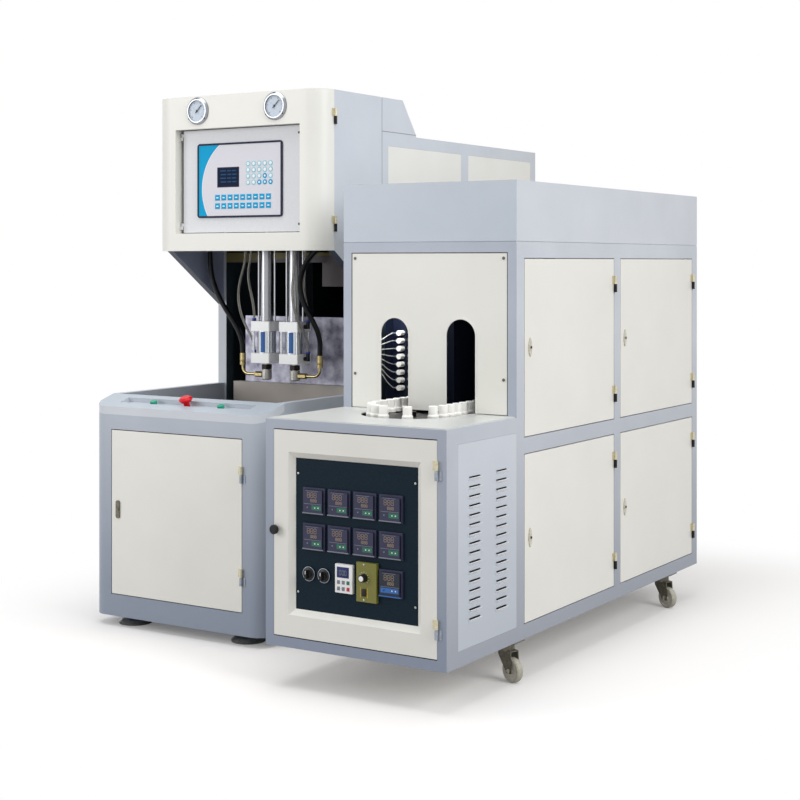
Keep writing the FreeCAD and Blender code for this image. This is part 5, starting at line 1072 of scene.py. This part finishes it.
# %% Square keys
KEY_RISE_MM = 1.2
SQUARE_KEY_MM = (22, 21)
SQUARE_FIRST = (84 * MM, 63.5 * MM)
SQUARE_PITCH = (29.3 * MM, -31 * MM)
first_x, first_z = rim_low.x + SQUARE_FIRST[0], rim_low.z + SQUARE_FIRST[1]
key_top_y = ink_y - KEY_RISE_MM * MM
wide, tall = SQUARE_KEY_MM
first_key = joined("square_key", [
    tile("square_key", (first_x, ink_y, first_z), (0, wide), (0, tall), KEY_RISE_MM, cyan_ink, 0.5),
    tile("square_key", (first_x, key_top_y, first_z), (6, 16), (8, 12), 0.15, white_ink)])
square_keys = [first_key]
for row in range(2):
    for column in range(9):
        if row or column:
            shift = Vector((column * SQUARE_PITCH[0], 0, row * SQUARE_PITCH[1]))
            square_keys.append(copied(first_key, "square_key", shift))
mount(joined("keypad_square_keys", square_keys), "inner_panel")
print(len(square_keys), "square keys")

# %% Round keys
ROUND_RADIUS = 9.5 * MM
ROUND_FIRST = (237 * MM, 195 * MM)
ROUND_PITCH = (25.5 * MM, -22.7 * MM)
round_keys = []
for row in range(4):
    for column in range(5):
        blue = (row == 2 and column == 3) or (row == 3 and column > 1)
        ink, mark_radius = (cyan_ink, 4 * MM) if blue else (pale_ink, 6.2 * MM)
        x = rim_low.x + ROUND_FIRST[0] + ROUND_PITCH[0] * column
        z = rim_low.z + ROUND_FIRST[1] + ROUND_PITCH[1] * row
        round_keys.append(disc("round_key", (x, ink_y, z), ROUND_RADIUS, KEY_RISE_MM * MM, ink, 0.4 * MM, 32))
        round_keys.append(disc("round_mark", (x, key_top_y, z), mark_radius, 0.15 * MM, white_ink, sides=24))
mount(joined("keypad_round_keys", round_keys), "inner_panel")
print(len(round_keys) // 2, "round keys")

# %% [markdown]
# ## Pressure gauges
# Each gauge has a pale card with an arc of ticks round three quarters of the dial, longer at the fives and
# long and black at the tens. The needle is a plain bar with a hub. Three dark screws hold the flange. A tick
# is shaped at the top of the dial and turned about the dial's middle, which keeps every tick truly radial.

# %% Gauges
# Every how many ticks, and then a tick's inner radius, width and ink; the first row that fits is used.
TICKS = ((10, 28.5, 1.5, black_ink), (5, 31.5, 0.8, grey_ink), (1, 33, 0.8, grey_ink))
TICK_OUTER_MM = 36.5
TICK_COUNT = 51
DIAL_FROM, DIAL_SWEEP = -135, 270
NEEDLE_TURN = 45
NEEDLE_TIP_MM, NEEDLE_TAIL_MM = 29, -11
FLANGE_PROUD = 3 * MM
SCREW_CIRCLE = 46 * MM
flange_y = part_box("head_cover")[0].y - FLANGE_PROUD


def radial_bar(centre, degrees, outer, inner, width, material):
    """A bar on a dial between two radii in millimetres, turned about the dial's centre."""
    bpy.ops.mesh.primitive_cube_add(
        size=1, location=(0, 0, (outer + inner) / 2 * MM), scale=(width * MM, 0.3 * MM, (outer - inner) * MM))
    bar = settle(bpy.context.object, "bar", material)
    bar.data.transform(Matrix.Rotation(math.radians(degrees), 4, "Y"))
    bar.data.transform(Matrix.Translation(centre))
    return bar


for side, x in gauge_x.items():
    centre = Vector((x, flange_y - 0.4 * MM, gauge_z))
    card = [disc("card", (x, flange_y + 0.1 * MM, gauge_z), CARD_RADIUS, 0.5 * MM, dial_card, sides=64)]
    for step in range(TICK_COUNT):
        _, inner, width, ink = next(row for row in TICKS if step % row[0] == 0)
        degrees = DIAL_FROM + DIAL_SWEEP * step / (TICK_COUNT - 1)
        card.append(radial_bar(centre, degrees, TICK_OUTER_MM, inner, width, ink))
    mount(joined("gauge_card_" + side, card), "head_cover")
    needle = radial_bar(centre - Vector((0, 2.8 * MM, 0)), NEEDLE_TURN, NEEDLE_TIP_MM, NEEDLE_TAIL_MM, 3.2,
                        black_ink)
    hub = disc("hub", centre - Vector((0, 2 * MM, 0)), 4.5 * MM, 1.6 * MM, black_ink, 0.4 * MM, 24)
    mount(joined("gauge_needle_" + side, [needle, hub]), "head_cover")
    screws = []
    for angle in map(math.radians, (0, 128, 232)):
        place = (x + SCREW_CIRCLE * math.sin(angle), flange_y - 2.6 * MM,
                 gauge_z + SCREW_CIRCLE * math.cos(angle))
        screws.append(disc("screw", place, 3.2 * MM, 2.6 * MM, black_oxide, 0.6 * MM, 20))
    mount(joined("gauge_screws_" + side, screws), "head_cover")
print("gauges made")

# %% [markdown]
# ## Temperature meters
# Each meter has a dark face with two lines of unlit digits, a thin rule, two green keys and a pale strip
# along its lower edge. The digits are seven-bar figures: an eight with some bars left out. The ninth meter
# is of another kind, with a wide blue field.

# %% Figures
BAR_MM = 1.6
# Shares of a figure's width, width and height: the step to the next figure, a level bar and an upright one.
FIGURE_PITCH, LEVEL_BAR, UPRIGHT_BAR = 1.45, 0.8, 0.4
# Where each bar's middle lies in a figure's width and height, and whether it lies level.
SEGMENTS = {"a": (0.5, 1, True), "b": (1, 0.75, False), "c": (1, 0.25, False), "d": (0.5, 0, True),
            "e": (0, 0.25, False), "f": (0, 0.75, False), "g": (0.5, 0.5, True)}
FIGURES = {"0": "abcdef", "8": "abcdefg"}


def figures(text, origin, x, z, width, height, material):
    """Seven-bar figures in millimetres from a place on a face, each bar a thin block."""
    bars = []
    for index, sign in enumerate(text):
        for segment in FIGURES[sign]:
            across, up, level = SEGMENTS[segment]
            wide, tall = (LEVEL_BAR * width, BAR_MM) if level else (BAR_MM, UPRIGHT_BAR * height)
            left = x + (index * FIGURE_PITCH + across) * width - wide / 2
            bottom = z + up * height - tall / 2
            bars.append(tile("bar", origin, (left, left + wide), (bottom, bottom + tall), 0.25, material))
    return bars


print("figures", *FIGURES)

# %% Meter faces
FACE_SINK = 1 * MM
PLATE_MM = 0.6
NINTH_DROP = 111 * MM


def meter_face(name, x, z, last=False):
    """A face plate with its figures, rule, keys and strip; x and z are the meter's lower left corner."""
    face, keys, strip, keys_from = (ninth_abs, blue_ink, blue_ink, 8) if last else (
        meter_abs, green_ink, grey_ink, 36)
    rim = (x, instruments_low.y, z)
    sunk = (x, instruments_low.y + FACE_SINK, z)
    on_plate = (x, sunk[1] - PLATE_MM * MM, z)
    parts = [tile("plate", sunk, (6.3, 73.7), (6.3, 73.7), PLATE_MM, face)]
    parts += figures("888", on_plate, 20, 51, 8.5, 15, amber_digit)
    parts += figures("888", on_plate, 32, 38, 5.5, 8, amber_digit)
    parts.append(tile("rule", on_plate, (8, 72), (31, 32.2), 0.2, grey_ink))
    parts.append(tile("keys", on_plate, (keys_from, 70), (14, 28), 0.3, keys))
    for dot in (48, 60):
        place = (x + dot * MM, on_plate[1] - 0.3 * MM, z + 21 * MM)
        parts.append(disc("dot", place, 2.0 * MM, 0.3 * MM, white_ink, sides=16))
    parts.append(disc("dot", (x + 20 * MM, on_plate[1], z + 21 * MM), 2.2 * MM, 0.3 * MM, grey_ink, sides=16))
    parts.append(tile("line", on_plate, (14, 60), (70, 71.2), 0.2, grey_ink))
    parts.append(tile("strip", rim, (2, 78), (2, 5.5), 0.3, strip))
    return joined(name, parts)


first_face = meter_face("meter_face_1", instruments_low.x, top_row_z)
for index in range(1, 8):
    shift = Vector((index % 4 * METER_PITCH_X, 0, -(index // 4) * METER_PITCH_Z))
    mount(copied(first_face, f"meter_face_{index + 1}", shift), "heater_door")
mount(first_face, "heater_door")
ninth_corner = (instruments_low.x + 3 * METER_PITCH_X, top_row_z - METER_PITCH_Z - NINTH_DROP)
mount(meter_face("meter_face_9", *ninth_corner, last=True), "heater_door")
print("nine meter faces")

# %% [markdown]
# ## Drive controls
# The inverter's white keypad has a blue display and six keys. The speed controller's plate is olive anodised,
# with a ring of ticks round its knob and a black rocker between two yellow lines.

# %% Inverter keypad
UNIT_PROUD = 12 * MM
INVERTER_WIDTH = 70 * MM
INVERTER_FOOT = 18 * MM
panel_low, panel_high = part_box("control_panel")
unit_front = panel_low.y - UNIT_PROUD
inverter = (speed_unit_left - INVERTER_WIDTH, unit_front, instruments_low.z + INVERTER_FOOT)
on_display = (inverter[0], unit_front - 0.6 * MM, inverter[2])
parts = [tile("display", inverter, (9, 52), (45, 77), 0.6, inverter_glass, 0.2)]
parts += figures("0", on_display, 18, 53, 6, 14, grey_ink)
parts += figures("00", on_display, 28, 53, 6, 14, grey_ink)
for row, last_ink in enumerate((green_ink, red_ink)):
    for column, ink in enumerate((grey_ink, grey_ink, last_ink)):
        x, z = 10 + 17 * column, 26 - 19 * row
        parts.append(tile("key", inverter, (x, x + 10), (z, z + 11), 1.2, ink, 0.4))
mount(joined("inverter_keys", parts), "heater_door")
print("inverter keypad made")

# %% Speed controller
ROCKER_DROP = 44 * MM
KNOB_TICKS = 11
knob_low, knob_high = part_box("speed_knob")
knob_x = (knob_low.x + knob_high.x) / 2
knob_z = (knob_low.z + knob_high.z) / 2
rocker = (knob_x, unit_front, knob_z - ROCKER_DROP)
dial_middle = Vector((knob_x, unit_front - 0.1 * MM, knob_z))
turns = [DIAL_FROM + DIAL_SWEEP * step / (KNOB_TICKS - 1) for step in range(KNOB_TICKS)]
parts = [radial_bar(dial_middle, degrees, 18.5, 15.5, 1.2, white_ink) for degrees in turns]
parts.append(tile("rocker", rocker, (-7, 7), (-10, 12), 4, black_abs, 1))
for x in (-12.5, 12.5):
    parts.append(tile("line", rocker, (x - 1, x + 1), (-14, 15), 0.25, yellow_ink))
mount(joined("speed_controller_marks", parts), "heater_door")
cap = disc("speed_knob_cap", (knob_x, knob_low.y, knob_z), 8 * MM, 0.8 * MM, white_ink, 0.3 * MM, 32)
mount(cap, "speed_knob")
print("speed controller made")

# %% [markdown]
# A rotary switch turns in a flat zinc plated ring, which is a disc with a hole cut in it. The white pointer
# is printed on the knob, so it rides on the switch and turns with it.

# %% Rotary switch rings and pointers
SWITCH_REACH = 18 * MM
for side in SIDES:
    low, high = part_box("switch_" + side)
    x, z = (low.x + high.x) / 2, (low.z + high.z) / 2
    ring = disc("switch_ring_" + side, (x, high.y - SWITCH_REACH, z), 22 * MM, 1.5 * MM, blue_zinc, 0.4 * MM)
    hole = disc("hole", (x, high.y, z), 20.4 * MM, 30 * MM, blue_zinc)
    mount(cut_away(ring, hole), "heater_door")
    pointer = tile("switch_pointer_" + side, (x, low.y, z), (-1.2, 1.2), (2, 12), 0.3, white_ink)
    mount(pointer, "switch_" + side)
print("switches marked")

# %% [markdown]
# ## Screws
# Pan-head screws hold the panels. One is turned from a short cylinder with a rounded edge and a cross
# recess, then copied to each corner.

# %% Pan-head screws
# Shares of a screw head's radius.
HEAD_HEIGHT, HEAD_EDGE = 0.6, 0.3
SLOT_LENGTH, SLOT_WIDTH, SLOT_FLOOR = 1.1, 0.25, 0.35


def pan_screw(name, place, radius, material):
    """A pan-head screw that faces the front, its underside at a place."""
    head = disc(name, place, radius, radius * HEAD_HEIGHT, material, radius * HEAD_EDGE, 24)
    x, y, z = place
    for wide, tall in ((SLOT_LENGTH, SLOT_WIDTH), (SLOT_WIDTH, SLOT_LENGTH)):
        slot = block("slot", (x - radius * wide / 2, y - radius, z - radius * tall / 2),
                     (x + radius * wide / 2, y - radius * SLOT_FLOOR, z + radius * tall / 2), material)
        cut_away(head, slot)
    return head


def corner_screws(name, body, corners, insets, y, radius, material):
    """Screws at a panel's four corners; insets count from its sides, its bottom and its top."""
    low, high = corners
    side, bottom, top = insets
    first = pan_screw(name, (low.x + side, y, low.z + bottom), radius, material)
    wide, tall = high.x - low.x - 2 * side, high.z - low.z - bottom - top
    copies = [copied(first, name, Vector(shift)) for shift in ((wide, 0, 0), (0, 0, tall), (wide, 0, tall))]
    return mount(joined(name, [first] + copies), body)


print("a slot", SLOT_WIDTH, "of the head's radius wide")

# %% Screws on the panels
FRONT_SHEET = 2 * MM
INNER_INSET = (20 * MM, 27 * MM)
front_low, front_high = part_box("heater_front_panel")
inner_low, inner_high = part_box("inner_panel")
sheet_y = front_high.y - FRONT_SHEET
corner_screws("control_panel_screws", "heater_door", (panel_low, panel_high), (28 * MM, 72 * MM, 66 * MM),
              panel_low.y, 3.5 * MM, zinc_plate)
corner_screws("front_panel_screws", "machine", (front_low, front_high), (14 * MM, 108 * MM, 18 * MM),
              sheet_y, 5 * MM, dull_zinc)
panel_screws = [pan_screw("inner_panel_screw", (inner_high.x - INNER_INSET[0], rim_high.y, z), 4.5 * MM,
                          black_oxide) for z in (inner_low.z + INNER_INSET[1], inner_high.z - INNER_INSET[1])]
mount(joined("inner_panel_screws", panel_screws), "inner_panel")
for z in (instruments_low.z + 6 * MM, instruments_low.z + 110 * MM):
    screw = pan_screw(f"speed_unit_screw_{round(z * 1000)}", (knob_x, unit_front, z), 3 * MM, zinc_plate)
    mount(screw, "heater_door")
print("screws made")

# %% [markdown]
# ## Stripes on the cylinders
# Each barrel carries a plain blue stripe. It is a strip of the barrel's own round wall, a little more than a
# tenth of a millimetre proud of it: a slightly wider cylinder, of which a block keeps one strip and the
# barrel itself takes out the middle.

# %% Cylinder stripes
BARREL_RADIUS = 36 * MM
STRIPE_PROUD = 0.15 * MM
STRIPE_Z = 990 * MM
STRIPE_HEIGHT = 78 * MM
STRIPE_FROM, STRIPE_TO = -3 * MM, 16 * MM
TOOL_REACH = 40 * MM
TOOL_FROM_Z, TOOL_TO_Z = 900 * MM, 1100 * MM
for side, x in cylinder_x.items():
    stripe = rod("cylinder_stripe_" + side, (x, nozzle_y, STRIPE_Z), BARREL_RADIUS + STRIPE_PROUD,
                 STRIPE_HEIGHT, blue_ink, sides=96)
    keep = block("keep", (x + STRIPE_FROM, nozzle_y - TOOL_REACH, TOOL_FROM_Z),
                 (x + STRIPE_TO, nozzle_y, TOOL_TO_Z), blue_ink)
    cut_away(stripe, keep, "INTERSECT")
    barrel = rod("barrel_tool", (x, nozzle_y, (TOOL_FROM_Z + TOOL_TO_Z) / 2), BARREL_RADIUS,
                 TOOL_TO_Z - TOOL_FROM_Z, blue_ink, sides=96)
    mount(cut_away(stripe, barrel), "machine")
print("stripes made")

# %% [markdown]
# ## Locks in the latches
# Each of the heater's side doors has an almond-shaped latch plate, and a dark lock barrel stands out of it.
# The plate's own points say where its middle is, so the lock sits right whatever the door's size.

# %% Locks
LATCH_WITHIN = 60 * MM
for node in SIDE_DOORS:
    front_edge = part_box(node)[0].y
    plate = [v.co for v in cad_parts[node].data.vertices
             if v.co.x > heater_right + SKIN and v.co.y < front_edge + LATCH_WITHIN]
    middle = sum(plate, Vector()) / len(plate)
    face_x = max(v.x for v in plate)
    lock = rod("lock_" + node, (face_x, middle.y, middle.z), 4.5 * MM, 3 * MM, black_oxide, "X", 0.8 * MM, 24)
    mount(lock, node)
print(len(SIDE_DOORS), "locks")

# %% [markdown]
# ## Seams in painted shade
# The head's side plate, the cabinet behind it and the hood over both are separate sheets. Where they meet on
# the right, a thin dark line, a millimetre and a half wide, paints the shade in the joint. The heater's front
# panel has a dark strip round it in its frame, painted shade for the gap.

# %% Seams
SEAM_SHADE_WIDTH = 1.5 * MM
SHADE_RISE = 0.4 * MM
SEAM_Y = -82.5 * MM
SEAM_Z = 1781 * MM
SEAM_BOTTOM, SEAM_TOP = 1216 * MM, 1904 * MM
GAP_SHADE_WIDTH = 2.5 * MM
HOOD_EDGE = 2 * MM
seam_shade_x = cover_right + SHADE_RISE
# Painted shade: thin dark lines in the joints between the sheets.
upright_seam_shade = block("upright_seam_shade", (cover_right, SEAM_Y - SEAM_SHADE_WIDTH / 2, SEAM_BOTTOM),
                     (seam_shade_x, SEAM_Y + SEAM_SHADE_WIDTH / 2, SEAM_TOP), black_ink, 0.15 * MM)
level_seam_shade = block("level_seam_shade", (cover_right, SEAM_Y, SEAM_Z - SEAM_SHADE_WIDTH / 2),
                   (seam_shade_x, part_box("head_hood")[1].y - HOOD_EDGE, SEAM_Z + SEAM_SHADE_WIDTH / 2), black_ink, 0.15 * MM)
mount(joined("head_seams", [upright_seam_shade, level_seam_shade]), "machine")

table_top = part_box("heater_table")[1].z
# Painted shade: a black strip round the front panel for the gap in its frame.
panel_gap_shade = block("front_panel_gap_shade", (front_low.x, sheet_y - SHADE_RISE, table_top + MARGIN),
             (front_high.x, sheet_y, front_high.z), gap_shade_coat)
inside_gap_shade = block("inside_gap_shade", (front_low.x + GAP_SHADE_WIDTH, sheet_y - OVERSHOOT, table_top - OVERSHOOT),
                    (front_high.x - GAP_SHADE_WIDTH, sheet_y + OVERSHOOT, front_high.z - GAP_SHADE_WIDTH), gap_shade_coat)
mount(cut_away(panel_gap_shade, inside_gap_shade), "machine")
print("painted_shade_lines of", round(SEAM_SHADE_WIDTH / MM, 1), "and", round(GAP_SHADE_WIDTH / MM, 1), "mm")

# %% [markdown]
# ## Floor
# The floor is a plain white sheet, far wider than the view. Under and beside the machine it keeps the
# shadow. Farther out it would turn grey, where the lamps fall off, so there it shows the camera plain white
# instead, as a retouched catalogue picture does. It throws back less light than it shows, since a white
# sweep is small.

# %% Floor
SHADOW_REACH = 0.9
FOOTPRINT = (0.75, 1.1, 0)
OWN_WHITE = 0.12
WHITE_PAINT, BOUNCED_TONE = "#FEFBF9", "#B3AFAC"
bpy.ops.mesh.primitive_plane_add(size=90, location=(0, 0, -0.5 * MM))
floor_paint, tree, shader, place = new_material("white_floor", WHITE_PAINT, 0.7, Specular_IOR_Level=0.1)
floor = settle(bpy.context.object, "floor", floor_paint)
shown = shown_to_camera(tree)
bounce = add(tree, "MixRGB", {"Color1": srgb(BOUNCED_TONE), "Color2": srgb(WHITE_PAINT)}, {"Fac": shown})
tree.links.new(bounce.outputs["Color"], shader.inputs["Base Color"])
corner = add(tree, "VectorMath", {"operation": "ABSOLUTE"}, {0: place})
beyond = add(tree, "VectorMath", {"operation": "SUBTRACT", 1: FOOTPRINT}, {0: corner.outputs["Vector"]})
outside = add(tree, "VectorMath", {"operation": "MAXIMUM"}, {0: beyond.outputs["Vector"]})
distance = add(tree, "VectorMath", {"operation": "LENGTH"}, {0: outside.outputs["Vector"]})
falloff = add(tree, "MapRange", {"interpolation_type": "SMOOTHSTEP", "From Max": SHADOW_REACH,
                                 "To Min": OWN_WHITE}, {"Value": distance.outputs["Value"]})
plain = add(tree, "Math", {"operation": "MULTIPLY"}, {0: falloff.outputs["Result"], 1: shown})
glow = add(tree, "Emission", {"Color": (1, 1, 1, 1), "Strength": 1.0})
blended = add(tree, "MixShader", None, {"Fac": plain.outputs["Value"], 1: shader.outputs["BSDF"],
                                        2: glow.outputs["Emission"]})
tree.links.new(blended.outputs["Shader"], tree.nodes["Material Output"].inputs["Surface"])
print("floor of", floor.dimensions.x, "m")
